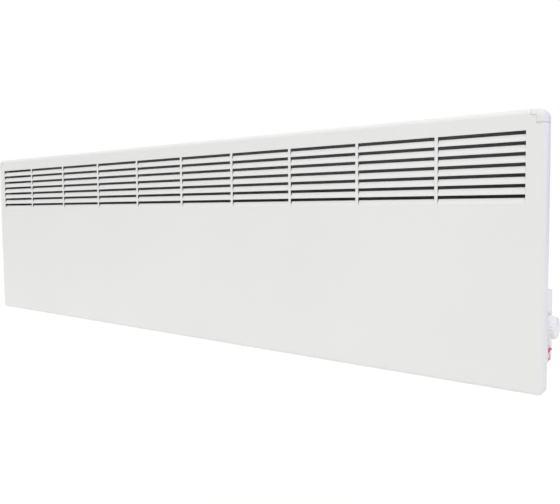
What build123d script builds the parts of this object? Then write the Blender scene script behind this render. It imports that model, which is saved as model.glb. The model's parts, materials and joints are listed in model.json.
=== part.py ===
from build123d import *

import os
from math import cos, radians, sin

# Electric baseboard panel heater on its wall bracket, in millimetres.
# +X runs along the heater to the control end, +Y into the wall, +Z up.
# The origin is the centre of the four wall screws, on the wall's surface.

os.makedirs("parts", exist_ok=True)

# ---------------------------------------------------------------- driving sizes

panel_width = 1380.0
panel_height = 389.0
casing_depth = 65.0
wall_gap = 20.0
sheet = 1.0

flange_depth = 22.0
panel_corner_r = 13.0
panel_foot_r = 9.0
bend_r = 8.0
rear_bend_r = 1.8
return_lip = 13.0

louvre_columns = 10
louvre_rows = 7
column_pitch = 134.0
row_pitch = 14.3
rib_width = 5.0
end_trim = 4.0
first_gap_drop = 30.9
gap_height = 4.7
blade_height = 8.4
blade_recess = 5.0
lance_gap = 0.5

half_width = panel_width / 2
half_height = panel_height / 2
front_y = -(wall_gap + casing_depth)
lip_y = front_y + flange_depth
back_y = -wall_gap
SIDES = ((-1, "left"), (1, "right"))

# ---------------------------------------------------------------- front panel


def panel_blank(inset):
    """Closed outline of the front tray, drawn in evenly by inset."""
    with BuildPart() as blank:
        with BuildSketch(Plane.XZ.offset(-front_y - inset)) as outline:
            Rectangle(panel_width - 2 * inset, panel_height - 2 * inset)
            fillet(outline.vertices().group_by(Axis.Y)[-1], panel_corner_r - inset)
            fillet(outline.vertices().group_by(Axis.Y)[0], panel_foot_r - inset)
        extrude(amount=-(flange_depth - 2 * inset))
        fillet(blank.faces().sort_by(Axis.Y)[0].edges(), bend_r - inset)
        if inset < rear_bend_r:
            fillet(blank.faces().sort_by(Axis.Y)[-1].edges(), rear_bend_r - inset)
    return blank.part


# Outline of the corner that a moulded cap fills: a strip along the top edge and a
# strip down the side edge, measured from the panel's outer edges.
cap_strip_reach = 21.0
cap_strip_height = 8.8
cap_side_width = 13.3
cap_side_height = 19.8
cap_tongue_r = 3.0
seam = 0.35


def corner_zone(side, gap):
    """Prism through the tray at a top corner, drawn in by gap on its inner sides."""
    strip_x = side * (half_width - cap_strip_reach + gap)
    strip_z = half_height - cap_strip_height + gap
    side_x = side * (half_width - cap_side_width + gap)
    side_z = half_height - cap_side_height + gap
    far_x = side * (half_width + 1)
    far_z = half_height + 1
    with BuildPart() as zone:
        with BuildSketch(Plane.XZ.offset(-lip_y - 1)) as outline:
            with BuildLine():
                Polyline(
                    (strip_x, far_z),
                    (strip_x, strip_z),
                    (side_x, strip_z),
                    (side_x, side_z),
                    (far_x, side_z),
                    (far_x, far_z),
                    close=True,
                )
            make_face()
            inner = outline.vertices().sort_by_distance((side_x, strip_z))[0]
            fillet(inner, cap_tongue_r)
        extrude(amount=flange_depth + 2, both=True)
    return zone.part


def rear_window():
    """Opening in the tray's back, inside its return lip."""
    with BuildPart() as window:
        with BuildSketch(Plane.XZ.offset(-lip_y)):
            Rectangle(panel_width - 2 * return_lip, panel_height - 2 * return_lip)
        extrude(amount=3 * sheet)
    return window.part


def slot_span(column):
    """Left and right ends of one column of louvres."""
    middle = (column - (louvre_columns - 1) / 2) * column_pitch
    left = middle - (column_pitch - rib_width) / 2
    right = middle + (column_pitch - rib_width) / 2
    if column == 0:
        left += end_trim
    if column == louvre_columns - 1:
        right -= end_trim
    return left, right


slot_spans = [slot_span(column) for column in range(louvre_columns)]
first_middle = half_height - first_gap_drop - blade_height / 2
window_middles = [first_middle - row * row_pitch for row in range(louvre_rows)]

# Screws that hold the rear casing to the tray's return lip.
lip_screw_x = [-560.0, -280.0, 0.0, 280.0, 560.0]
lip_screw_z = [0.0, 100.0]
lip_screw_inset = 6.0
lip_screw_r = 1.95
lip_hole_r = 2.1
lip_screw_places = [
    (x, z * (half_height - lip_screw_inset)) for x in lip_screw_x for z in (-1, 1)
] + [(x * (half_width - lip_screw_inset), z) for x in (-1, 1) for z in lip_screw_z]

with BuildPart() as front_panel:
    add(panel_blank(0))
    add(panel_blank(sheet), mode=Mode.SUBTRACT)
    add(rear_window(), mode=Mode.SUBTRACT)
    for side, _ in SIDES:
        add(corner_zone(side, 0), mode=Mode.SUBTRACT)
    # windows for the air
    with BuildSketch(Plane.XZ.offset(-front_y)):
        for slot_left, slot_right in slot_spans:
            with Locations(*[((slot_left + slot_right) / 2, z) for z in window_middles]):
                Rectangle(slot_right - slot_left, gap_height + blade_height)
    extrude(amount=-sheet, mode=Mode.SUBTRACT)
    # blades, each bent inwards from its window's lower edge
    for slot_left, slot_right in slot_spans:
        with BuildSketch(Plane.YZ.offset(slot_left + lance_gap)):
            for middle in window_middles:
                root_z = middle - (gap_height + blade_height) / 2
                tip_z = root_z + blade_height
                with BuildLine():
                    Polyline(
                        (front_y, root_z),
                        (front_y + blade_recess, tip_z),
                        (front_y + blade_recess + sheet, tip_z),
                        (front_y + sheet, root_z),
                        close=True,
                    )
                make_face()
        extrude(amount=slot_right - slot_left - 2 * lance_gap)
    with BuildSketch(Plane.XZ.offset(-lip_y)):
        with Locations(*lip_screw_places):
            Circle(lip_hole_r)
    extrude(amount=sheet, mode=Mode.SUBTRACT)

front_panel.part.label = "front_panel"
export_step(front_panel.part, "parts/front_panel.step")

# ---------------------------------------------------------------- corner caps

cap_wall = 2.0
tongue_gap = 0.1
tongue_reach = 4.0
tongue_wall = 1.5

for side, name in SIDES:
    tongue_outer = panel_blank(sheet + tongue_gap)
    tongue_inner = panel_blank(sheet + tongue_gap + tongue_wall)
    tongue = (tongue_outer - tongue_inner) & corner_zone(side, -tongue_reach)
    with BuildPart() as corner_cap:
        add(panel_blank(0))
        add(panel_blank(cap_wall), mode=Mode.SUBTRACT)
        add(corner_zone(side, seam), mode=Mode.INTERSECT)
        add(tongue)
        add(rear_window(), mode=Mode.SUBTRACT)
    corner_cap.part.label = f"corner_cap_{name}"
    export_step(corner_cap.part, f"parts/corner_cap_{name}.step")

# ---------------------------------------------------------------- rear casing

casing_half_width = half_width - 12.0
casing_half_height = half_height - 12.0
casing_flange = 10.0
flange_corner_r = 9.0
casing_bend_r = 1.5
wall_x = casing_half_width - sheet

# Wall bracket places that the casing's back has to match.
arm_x = 280.0
arm_half_width = 20.0
bracket_sheet = 1.5
hook_seat_z = -118.0
hook_slot_drop = 24.0
hook_slot_width = 4.0
latch_shelf_z = 174.0
latch_slot_z = latch_shelf_z + 3.0
latch_slot_height = 5.0
latch_slot_width = 17.0
latch_slot_shift = 3.5

# Element, reflector and cut-out places.
element_y = -52.0
element_z = -120.0
bracket_x = 572.0
reflector_foot_z = (-170.0, -66.0)
rivet_x = (-480.0, 0.0, 480.0)
foot_screw_x = 563.0
foot_screw_z = (-133.0, -107.0)
cutout_x = 540.0
cutout_foot_z = -58.0
earth_x = 575.0
earth_z = -30.0
small_hole_r = 1.6
small_screw_r = 1.5

# Cable entry in the bottom wall, under the control housing.
entry_x = 645.0
entry_y = -41.0
gland_r = 8.0
gland_fit = 0.1

end_screw_z = (-165.0, 0.0, 150.0)
end_tab = 12.0
tab_inset = 10.0
end_screw_x = wall_x - end_tab / 2

inlet_count = 14
inlet_pitch = 80.0
inlet_length = 60.0
inlet_width = 6.0
inlet_rows_y = (-50.0, -34.0)

back_holes = (
    [(x, z) for x in rivet_x for z in reflector_foot_z]
    + [(side * foot_screw_x, z) for side, _ in SIDES for z in foot_screw_z]
    + [(cutout_x, cutout_foot_z), (earth_x, earth_z)]
    + [(side * end_screw_x, z) for side, _ in SIDES for z in end_screw_z]
)

with BuildPart() as rear_casing:
    with BuildSketch(Plane.YZ.offset(-wall_x)):
        with BuildLine() as section:
            FilletPolyline(
                (lip_y + sheet / 2, casing_half_height + casing_flange),
                (lip_y + sheet / 2, casing_half_height - sheet / 2),
                (back_y - sheet / 2, casing_half_height - sheet / 2),
                (back_y - sheet / 2, -casing_half_height + sheet / 2),
                (lip_y + sheet / 2, -casing_half_height + sheet / 2),
                (lip_y + sheet / 2, -casing_half_height - casing_flange),
                radius=casing_bend_r,
            )
        trace(section.line, sheet)
    extrude(amount=2 * wall_x)
    # air inlets along the bottom
    with BuildSketch(Plane.XY.offset(-casing_half_height)):
        with Locations(*[(0, y) for y in inlet_rows_y]):
            with GridLocations(inlet_pitch, 0, inlet_count, 1):
                SlotOverall(inlet_length, inlet_width)
        with Locations((entry_x, entry_y)):
            Circle(gland_r + gland_fit)
    extrude(amount=sheet, mode=Mode.SUBTRACT)
    # slots for the bracket's hooks and latches, and small fastener holes
    with BuildSketch(Plane.XZ.offset(-back_y)):
        for side, _ in SIDES:
            hook_x = side * (arm_x + arm_half_width - bracket_sheet / 2)
            with Locations((hook_x, hook_seat_z - hook_slot_drop / 2)):
                Rectangle(hook_slot_width, hook_slot_drop)
            with Locations((side * (arm_x + latch_slot_shift), latch_slot_z)):
                Rectangle(latch_slot_width, latch_slot_height)
        with Locations(*back_holes):
            Circle(small_hole_r)
    extrude(amount=sheet, mode=Mode.SUBTRACT)
    with BuildSketch(Plane.XZ.offset(-lip_y)):
        with Locations(*lip_screw_places[: 2 * len(lip_screw_x)]):
            Circle(lip_hole_r)
    extrude(amount=-sheet, mode=Mode.SUBTRACT)

rear_casing.part.label = "rear_casing"
export_step(rear_casing.part, "parts/rear_casing.step")

# ---------------------------------------------------------------- end plates

# The moulded control housing passes through the right-hand plate.
controls_y = -41.0
controls_z = -104.9
housing_depth = 36.0
housing_height = 100.0
housing_fit = 0.3

for side, name in SIDES:
    with BuildPart() as end_plate:
        # side wall
        with BuildSketch(Plane.YZ.offset(side * casing_half_width)):
            with Locations(((lip_y + back_y) / 2, 0)):
                Rectangle(back_y - lip_y, 2 * casing_half_height)
            if side == 1:
                with Locations((controls_y, controls_z)):
                    Rectangle(
                        housing_depth + 2 * housing_fit,
                        housing_height + 2 * housing_fit,
                        mode=Mode.SUBTRACT,
                    )
        extrude(amount=-side * sheet)
        # flange that sits against the tray's return lip
        with BuildSketch(Plane.XZ.offset(-lip_y)):
            RectangleRounded(
                2 * (casing_half_width + casing_flange),
                2 * (casing_half_height + casing_flange),
                flange_corner_r,
            )
            with Locations((-side * casing_flange, 0)):
                Rectangle(
                    2 * (wall_x + casing_flange),
                    2 * (casing_half_height + casing_flange),
                    mode=Mode.SUBTRACT,
                )
            with Locations(*[(side * (half_width - lip_screw_inset), z) for z in lip_screw_z]):
                Circle(lip_hole_r, mode=Mode.SUBTRACT)
        extrude(amount=-sheet)
        # tab that screws to the casing's back
        with BuildSketch(Plane.XZ.offset(-back_y + sheet)):
            with Locations((side * (wall_x - end_tab / 2), 0)):
                Rectangle(end_tab, 2 * (casing_half_height - tab_inset))
            with Locations(*[(side * end_screw_x, z) for z in end_screw_z]):
                Circle(small_hole_r, mode=Mode.SUBTRACT)
        extrude(amount=sheet)
    end_plate.part.label = f"{name}_end_plate"
    export_step(end_plate.part, f"parts/{name}_end_plate.step")

# ---------------------------------------------------------------- casing fasteners


screw_length = 5.0
lip_head_r = 3.8
lip_head_height = 2.2
small_head_r = 2.9
small_head_height = 1.6
head_round = 0.45
recess_width = 0.25


def pan_screws(places, seat_y, shank_r, head_r, head_height):
    """Pan-head screws with crossed recesses, driven towards -Y from a seat."""
    with BuildPart() as screws:
        with BuildSketch(Plane.XZ.offset(-seat_y)):
            with Locations(*places):
                Circle(shank_r)
        extrude(amount=screw_length)
        with BuildSketch(Plane.XZ.offset(-seat_y)):
            with Locations(*places):
                Circle(head_r)
        extrude(amount=-head_height)
        fillet(screws.faces().group_by(Axis.Y)[-1].edges(), head_height * head_round)
        with BuildSketch(Plane.XZ.offset(-seat_y - head_height)):
            with Locations(*places):
                Rectangle(head_r, head_r * recess_width)
                Rectangle(head_r * recess_width, head_r)
        extrude(amount=head_height / 2, mode=Mode.SUBTRACT)
    return screws.part


def small_screws(places):
    """The small screws that go in through the casing's back."""
    return pan_screws(places, back_y, small_screw_r, small_head_r, small_head_height)


with BuildPart() as casing_screws:
    add(
        pan_screws(lip_screw_places, lip_y + sheet, lip_screw_r, lip_head_r, lip_head_height)
    )
casing_screws.part.label = "casing_screws"
export_step(casing_screws.part, "parts/casing_screws.step")

end_screw_places = [(side * end_screw_x, z) for side, _ in SIDES for z in end_screw_z]
with BuildPart() as end_plate_screws:
    add(small_screws(end_screw_places))
end_plate_screws.part.label = "end_plate_screws"
export_step(end_plate_screws.part, "parts/end_plate_screws.step")

# ---------------------------------------------------------------- control housing

housing_face_x = half_width - 5.0
housing_inner_x = 618.0
bezel_depth = 41.0
bezel_height = 103.0
housing_wall = 1.5
face_wall = 2.2
knob_z = -105.8
bush_r = 4.5
switch_z = -142.9
collar_depth = 13.4
collar_height = 19.2
switch_fit = 0.1
grommet_hole_r = 6.0
snap_height = 1.0
snap_size = (3.0, 12.0)
snap_x = wall_x - 2.0
bezel_corner_r = 4.0
bezel_edge_r = 1.5
housing_corner_r = 2.0

with BuildPart() as control_housing:
    with BuildSketch(Plane.YZ.offset(casing_half_width)):
        with Locations((controls_y, controls_z)):
            RectangleRounded(bezel_depth, bezel_height, bezel_corner_r)
    extrude(amount=housing_face_x - casing_half_width)
    fillet(control_housing.faces().sort_by(Axis.X)[-1].edges(), bezel_edge_r)
    with BuildSketch(Plane.YZ.offset(housing_inner_x)):
        with Locations((controls_y, controls_z)):
            RectangleRounded(housing_depth, housing_height, housing_corner_r)
    extrude(amount=casing_half_width - housing_inner_x)
    with BuildSketch(Plane.YZ.offset(housing_inner_x)):
        with Locations((controls_y, controls_z)):
            Rectangle(housing_depth - 2 * housing_wall, housing_height - 2 * housing_wall)
    extrude(amount=housing_face_x - face_wall - housing_inner_x, mode=Mode.SUBTRACT)
    # snap ridges behind the end plate
    for end in (-1, 1):
        with BuildSketch(Plane.XY.offset(controls_z + end * housing_height / 2)):
            with Locations((snap_x, controls_y)):
                Rectangle(*snap_size)
        extrude(amount=end * snap_height)
    # openings in the face and the cable hole in the bottom
    with BuildSketch(Plane.YZ.offset(housing_face_x)):
        with Locations((controls_y, knob_z)):
            Circle(bush_r + switch_fit)
        with Locations((controls_y, switch_z)):
            Rectangle(collar_depth + 2 * switch_fit, collar_height + 2 * switch_fit)
    extrude(amount=-face_wall, mode=Mode.SUBTRACT)
    with BuildSketch(Plane.XY.offset(controls_z - housing_height / 2)):
        with Locations((entry_x, entry_y)):
            Circle(grommet_hole_r)
    extrude(amount=housing_wall, mode=Mode.SUBTRACT)

control_housing.part.label = "control_housing"
export_step(control_housing.part, "parts/control_housing.step")

block_z = -70.0
channel_y = (-49.0, -41.0, -33.0)
cover_wall = 1.5
wire_slot = (24.0, 7.0)
spigot_gap = 0.1
spigot_wall = 1.9
spigot_reach = 3.0
spigot_depth = housing_depth - 2 * (housing_wall + spigot_gap)
spigot_height = housing_height - 2 * (housing_wall + spigot_gap)

with BuildPart() as housing_cover:
    with BuildSketch(Plane.YZ.offset(housing_inner_x)):
        with Locations((controls_y, controls_z)):
            RectangleRounded(housing_depth, housing_height, housing_corner_r)
        with Locations((controls_y, block_z)):
            SlotOverall(*wire_slot, mode=Mode.SUBTRACT)
    extrude(amount=-cover_wall)
    # spigot that locates the cover inside the housing
    with BuildSketch(Plane.YZ.offset(housing_inner_x)):
        with Locations((controls_y, controls_z)):
            Rectangle(spigot_depth, spigot_height)
            Rectangle(
                spigot_depth - 2 * spigot_wall,
                spigot_height - 2 * spigot_wall,
                mode=Mode.SUBTRACT,
            )
    extrude(amount=spigot_reach)
housing_cover.part.label = "housing_cover"
export_step(housing_cover.part, "parts/housing_cover.step")

grommet_bore_r = 4.2
grommet_flange = 1.5
grommet_flange_height = 1.0
grommet_neck = 2.0

with BuildPart() as grommet:
    with BuildSketch(Plane.XY.offset(controls_z - housing_height / 2)):
        with Locations((entry_x, entry_y)):
            Circle(grommet_hole_r + grommet_flange)
            Circle(grommet_bore_r, mode=Mode.SUBTRACT)
    extrude(amount=-grommet_flange_height)
    with BuildSketch(Plane.XY.offset(controls_z - housing_height / 2)):
        with Locations((entry_x, entry_y)):
            Circle(grommet_hole_r)
            Circle(grommet_bore_r, mode=Mode.SUBTRACT)
    extrude(amount=grommet_neck)
grommet.part.label = "grommet"
export_step(grommet.part, "parts/grommet.step")

# ---------------------------------------------------------------- thermostat

thermostat_size = (22.0, 30.0, 28.0)
shaft_r = 3.0
shaft_bore_r = 3.05
shaft_inner_x = 672.8
shaft_tip_x = 695.0
shaft_flat = 1.0
thermostat_face_x = housing_face_x - face_wall
bush_tip_x = 689.0
nut_height = 2.5
nut_half_width = 6.0
thermostat_corner_r = 1.5
shaft_end_gap = 0.5
spade_shift = 7.0
spade = (0.8, 6.3)
spade_length = 8.0

with BuildPart() as thermostat_body:
    with BuildSketch(Plane.YZ.offset(thermostat_face_x)):
        with Locations((controls_y, knob_z)):
            RectangleRounded(thermostat_size[1], thermostat_size[2], thermostat_corner_r)
    extrude(amount=-thermostat_size[0])
    with BuildSketch(Plane.YZ.offset(thermostat_face_x)):
        with Locations((controls_y, knob_z)):
            Circle(shaft_bore_r)
    extrude(amount=-(thermostat_face_x - shaft_inner_x + shaft_end_gap), mode=Mode.SUBTRACT)
    # two spade terminals at the back
    with BuildSketch(Plane.YZ.offset(thermostat_face_x - thermostat_size[0])):
        with Locations(*[(controls_y + side * spade_shift, knob_z) for side in (-1, 1)]):
            Rectangle(*spade)
    extrude(amount=-spade_length)
thermostat_body.part.label = "thermostat_body"
export_step(thermostat_body.part, "parts/thermostat_body.step")

with BuildPart() as thermostat_bush:
    with BuildSketch(Plane.YZ.offset(thermostat_face_x)):
        with Locations((controls_y, knob_z)):
            Circle(bush_r)
            Circle(shaft_bore_r, mode=Mode.SUBTRACT)
    extrude(amount=bush_tip_x - thermostat_face_x)
thermostat_bush.part.label = "thermostat_bush"
export_step(thermostat_bush.part, "parts/thermostat_bush.step")

with BuildPart() as thermostat_nut:
    with BuildSketch(Plane.YZ.offset(housing_face_x)):
        with Locations((controls_y, knob_z)):
            RegularPolygon(nut_half_width, 6, major_radius=False)
            Circle(bush_r, mode=Mode.SUBTRACT)
    extrude(amount=nut_height)
thermostat_nut.part.label = "thermostat_nut"
export_step(thermostat_nut.part, "parts/thermostat_nut.step")

with BuildPart() as thermostat_shaft:
    with BuildSketch(Plane.YZ.offset(shaft_inner_x)):
        with Locations((controls_y, knob_z)):
            Circle(shaft_r)
    extrude(amount=shaft_tip_x - shaft_inner_x)
    # flat for the knob
    with BuildSketch(Plane.YZ.offset(shaft_tip_x)):
        with Locations((controls_y, knob_z + shaft_r - shaft_flat / 2)):
            Rectangle(2 * shaft_r, shaft_flat)
    extrude(amount=-(shaft_tip_x - bush_tip_x - 1), mode=Mode.SUBTRACT)
thermostat_shaft.part.label = "thermostat_shaft"
export_step(thermostat_shaft.part, "parts/thermostat_shaft.step")

knob_r = 18.0
knob_grip_r = 16.8
knob_tip_r = 15.8
knob_top_r = 12.8
knob_round = 3.4
knob_back_x = housing_face_x + 0.6
knob_skirt_rim = 2.8
knob_skirt = 4.0
knob_shoulder = 9.4
knob_length = 11.6
knob_front_x = knob_back_x + knob_length
knob_hollow_r = 10.0
knob_hollow_depth = 4.4
flute_count = 20
flute_r = 1.3
flute_start = 4.5
pointer_width = 1.6
pointer_depth = 0.8
pointer_start_r = 4.0

with BuildPart() as thermostat_knob:
    # skirt, tapered grip and rounded top, turned about the shaft
    with BuildSketch(Plane.XZ.offset(-controls_y)):
        with BuildLine():
            rim = Polyline(
                (knob_back_x, knob_z),
                (knob_back_x, knob_z + knob_r),
                (knob_back_x + knob_skirt_rim, knob_z + knob_r),
                (knob_back_x + knob_skirt, knob_z + knob_grip_r),
                (knob_back_x + knob_shoulder, knob_z + knob_tip_r),
            )
            top = RadiusArc(rim @ 1, (knob_front_x, knob_z + knob_top_r), knob_round)
            Polyline(top @ 1, (knob_front_x, knob_z), (knob_back_x, knob_z))
        make_face()
    revolve(axis=Axis((knob_back_x, controls_y, knob_z), (1, 0, 0)))
    with BuildSketch(Plane.YZ.offset(knob_back_x + flute_start)):
        with Locations((controls_y, knob_z)):
            with PolarLocations(knob_grip_r, flute_count, 180 / flute_count):
                Circle(flute_r)
    extrude(amount=knob_length - flute_start, mode=Mode.SUBTRACT)
    # hollow for the nut, and the D-shaped bore for the shaft
    with BuildSketch(Plane.YZ.offset(knob_back_x)):
        with Locations((controls_y, knob_z)):
            Circle(knob_hollow_r)
    extrude(amount=knob_hollow_depth, mode=Mode.SUBTRACT)
    with BuildSketch(Plane.YZ.offset(knob_back_x)):
        with Locations((controls_y, knob_z)):
            Circle(shaft_r)
        with Locations((controls_y, knob_z + shaft_r - shaft_flat / 2)):
            Rectangle(2 * shaft_r, shaft_flat, mode=Mode.SUBTRACT)
    extrude(amount=shaft_tip_x - knob_back_x, mode=Mode.SUBTRACT)
    # pointer groove from the rim to near the middle
    with BuildSketch(Plane.YZ.offset(knob_front_x)):
        with Locations((controls_y, knob_z + knob_grip_r / 2)):
            Rectangle(pointer_width, knob_grip_r)
        with Locations((controls_y, knob_z)):
            Circle(pointer_start_r, mode=Mode.SUBTRACT)
    extrude(amount=-pointer_depth, mode=Mode.SUBTRACT)
thermostat_knob.part.label = "thermostat_knob"
export_step(thermostat_knob.part, "parts/thermostat_knob.step")

# ---------------------------------------------------------------- rocker switch

pivot_x = 683.0
rocker_r = 8.7
rocker_depth = 10.8
rocker_lift = 5.4
rocker_dip = 3.7
rocker_floor = 3.0
rocker_rest = 9.0
opening_depth = 11.2
opening_height = 17.8
frame_depth = 15.6
frame_height = 21.6
frame_rise = 1.8
frame_corner_r = 2.0
frame_edge_r = 0.8
collar_inner_x = 676.0
pin_r = 1.2
pin_clearance = 0.05
pin_reach = 6.2
rocker_dish = 6.4
switch_body_length = 14.0
blade = (0.8, 4.8)
blade_length = 8.0

with BuildPart() as switch_frame:
    with BuildSketch(Plane.YZ.offset(housing_face_x)):
        with Locations((controls_y, switch_z)):
            RectangleRounded(frame_depth, frame_height, frame_corner_r)
    extrude(amount=frame_rise)
    fillet(switch_frame.faces().sort_by(Axis.X)[-1].edges(), frame_edge_r)
    with BuildSketch(Plane.YZ.offset(collar_inner_x)):
        with Locations((controls_y, switch_z)):
            Rectangle(collar_depth, collar_height)
    extrude(amount=housing_face_x - collar_inner_x)
    with BuildSketch(Plane.YZ.offset(collar_inner_x)):
        with Locations((controls_y, switch_z)):
            Rectangle(opening_depth, opening_height)
    extrude(amount=housing_face_x + frame_rise - collar_inner_x, mode=Mode.SUBTRACT)
    # holes for the rocker's pins
    with BuildSketch(Plane.XZ.offset(-controls_y)):
        with Locations((pivot_x, switch_z)):
            Circle(pin_r + pin_clearance)
    extrude(amount=pin_reach + switch_fit, both=True, mode=Mode.SUBTRACT)
switch_frame.part.label = "switch_frame"
export_step(switch_frame.part, "parts/switch_frame.step")

with BuildPart() as switch_body:
    with BuildSketch(Plane.YZ.offset(collar_inner_x)):
        with Locations((controls_y, switch_z)):
            Rectangle(collar_depth, collar_height - 2 * switch_fit)
    extrude(amount=-switch_body_length)
switch_body.part.label = "switch_body"
export_step(switch_body.part, "parts/switch_body.step")

blade_places = [(controls_y + dy, switch_z + dz) for dy in (-3.5, 3.5) for dz in (-6, 6)]
with BuildPart() as switch_terminals:
    with BuildSketch(Plane.YZ.offset(collar_inner_x - switch_body_length)):
        with Locations(*blade_places):
            Rectangle(*blade)
    extrude(amount=-blade_length)
switch_terminals.part.label = "switch_terminals"
export_step(switch_terminals.part, "parts/switch_terminals.step")


def rocker_point(u, w):
    """Point of the rocker's outline: u outwards and w up from the pivot, when level."""
    turn = radians(rocker_rest)
    return (
        pivot_x + u * cos(turn) + w * sin(turn),
        switch_z + w * cos(turn) - u * sin(turn),
    )


with BuildPart() as rocker:
    with BuildSketch(Plane.XZ.offset(-controls_y)):
        with BuildLine():
            Polyline(
                rocker_point(-rocker_floor, -rocker_r),
                rocker_point(rocker_lift, -rocker_r),
                rocker_point(rocker_lift, -rocker_dish),
                rocker_point(rocker_dip, 0),
                rocker_point(rocker_lift, rocker_dish),
                rocker_point(rocker_lift, rocker_r),
                rocker_point(-rocker_floor, rocker_r),
                close=True,
            )
        make_face()
        with Locations((pivot_x, switch_z)):
            Circle(rocker_r, mode=Mode.INTERSECT)
    extrude(amount=rocker_depth / 2, both=True)
    with BuildSketch(Plane.XZ.offset(-controls_y)):
        with Locations((pivot_x, switch_z)):
            Circle(pin_r)
    extrude(amount=pin_reach, both=True)
rocker.part.label = "rocker"
export_step(rocker.part, "parts/rocker.step")

# ---------------------------------------------------------------- terminal block

block_size = (28.0, 24.0, 16.0)
block_inner_x = 640.0
block_screw_x = 654.0
core_r = 1.2
channel_r = 1.6
clamp_screw_r = 1.7
clamp_screw_length = 5.0
clamp_overlap = 0.4
clamp_gap = 0.2
clamp_slot = (0.6, 1.0)

with BuildPart() as terminal_block:
    with BuildSketch(Plane.YZ.offset(block_inner_x)):
        with Locations((controls_y, block_z)):
            Rectangle(block_size[1], block_size[2])
        with Locations(*[(y, block_z) for y in channel_y]):
            Circle(channel_r, mode=Mode.SUBTRACT)
    extrude(amount=block_size[0])
    with BuildSketch(Plane.XY.offset(block_z + block_size[2] / 2)):
        with Locations(*[(block_screw_x, y) for y in channel_y]):
            Circle(clamp_screw_r)
    extrude(amount=-(block_size[2] / 2 - channel_r + clamp_overlap), mode=Mode.SUBTRACT)
terminal_block.part.label = "terminal_block"
export_step(terminal_block.part, "parts/terminal_block.step")

with BuildPart() as terminal_screws:
    with BuildSketch(Plane.XY.offset(block_z + channel_r + clamp_gap)):
        with Locations(*[(block_screw_x, y) for y in channel_y]):
            Circle(clamp_screw_r)
    extrude(amount=clamp_screw_length)
    with BuildSketch(Plane.XY.offset(block_z + channel_r + clamp_gap + clamp_screw_length)):
        with Locations(*[(block_screw_x, y) for y in channel_y]):
            Rectangle(2 * clamp_screw_r, clamp_slot[0])
    extrude(amount=-clamp_slot[1], mode=Mode.SUBTRACT)
terminal_screws.part.label = "terminal_screws"
export_step(terminal_screws.part, "parts/terminal_screws.step")

# ---------------------------------------------------------------- cable gland

gland_bore_r = 3.75
gland_top_z = -174.0
gland_tip_z = -192.5
gland_hex = 10.0
gland_hex_height = 4.0
gland_cap_r = 8.2
gland_cap_round = 1.5
gland_nut_hex = 10.5
gland_nut_height = 4.0

with BuildPart() as cable_gland:
    with BuildSketch(Plane.XY.offset(-casing_half_height)):
        with Locations((entry_x, entry_y)):
            RegularPolygon(gland_hex, 6, major_radius=False)
    extrude(amount=-gland_hex_height)
    with BuildSketch(Plane.XY.offset(-casing_half_height - gland_hex_height)):
        with Locations((entry_x, entry_y)):
            Circle(gland_cap_r)
    extrude(amount=gland_tip_z + casing_half_height + gland_hex_height)
    fillet(cable_gland.faces().sort_by(Axis.Z)[0].edges(), gland_cap_round)
    with BuildSketch(Plane.XY.offset(-casing_half_height)):
        with Locations((entry_x, entry_y)):
            Circle(gland_r)
    extrude(amount=gland_top_z + casing_half_height)
    with BuildSketch(Plane.XY.offset(gland_tip_z)):
        with Locations((entry_x, entry_y)):
            Circle(gland_bore_r)
    extrude(amount=gland_top_z - gland_tip_z, mode=Mode.SUBTRACT)
cable_gland.part.label = "cable_gland"
export_step(cable_gland.part, "parts/cable_gland.step")

with BuildPart() as gland_nut:
    with BuildSketch(Plane.XY.offset(-casing_half_height + sheet)):
        with Locations((entry_x, entry_y)):
            RegularPolygon(gland_nut_hex, 6, major_radius=False)
            Circle(gland_r, mode=Mode.SUBTRACT)
    extrude(amount=gland_nut_height)
gland_nut.part.label = "gland_nut"
export_step(gland_nut.part, "parts/gland_nut.step")

# ---------------------------------------------------------------- heating element

sheath_r = 4.25
sheath_half = 585.0
stud_r = 2.0
stud_length = 15.0
fin_half = 560.0
fin_hub_r = 6.5
fin_tip_r = 30.0
fin_wall = 1.5
fin_angle = 60.0
element_centre = (element_y, element_z)

with BuildPart() as element_sheath:
    with BuildSketch(Plane.YZ.offset(-sheath_half)):
        with Locations(element_centre):
            Circle(sheath_r)
    extrude(amount=2 * sheath_half)
element_sheath.part.label = "element_sheath"
export_step(element_sheath.part, "parts/element_sheath.step")

with BuildPart() as element_fins:
    with BuildSketch(Plane.YZ.offset(-fin_half)):
        with Locations(element_centre):
            Circle(fin_hub_r)
            for angle in (fin_angle, -fin_angle):
                Rectangle(2 * fin_tip_r, fin_wall, rotation=angle)
            Circle(sheath_r, mode=Mode.SUBTRACT)
    extrude(amount=2 * fin_half)
element_fins.part.label = "element_fins"
export_step(element_fins.part, "parts/element_fins.step")

insulator_r = 9.0
insulator_neck_r = 7.0
insulator_half = 5.0
neck_half = 0.6
neck_gap = 0.1
leg_depth = 44.0
leg_height = 40.0
leg_foot = 18.0

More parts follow.
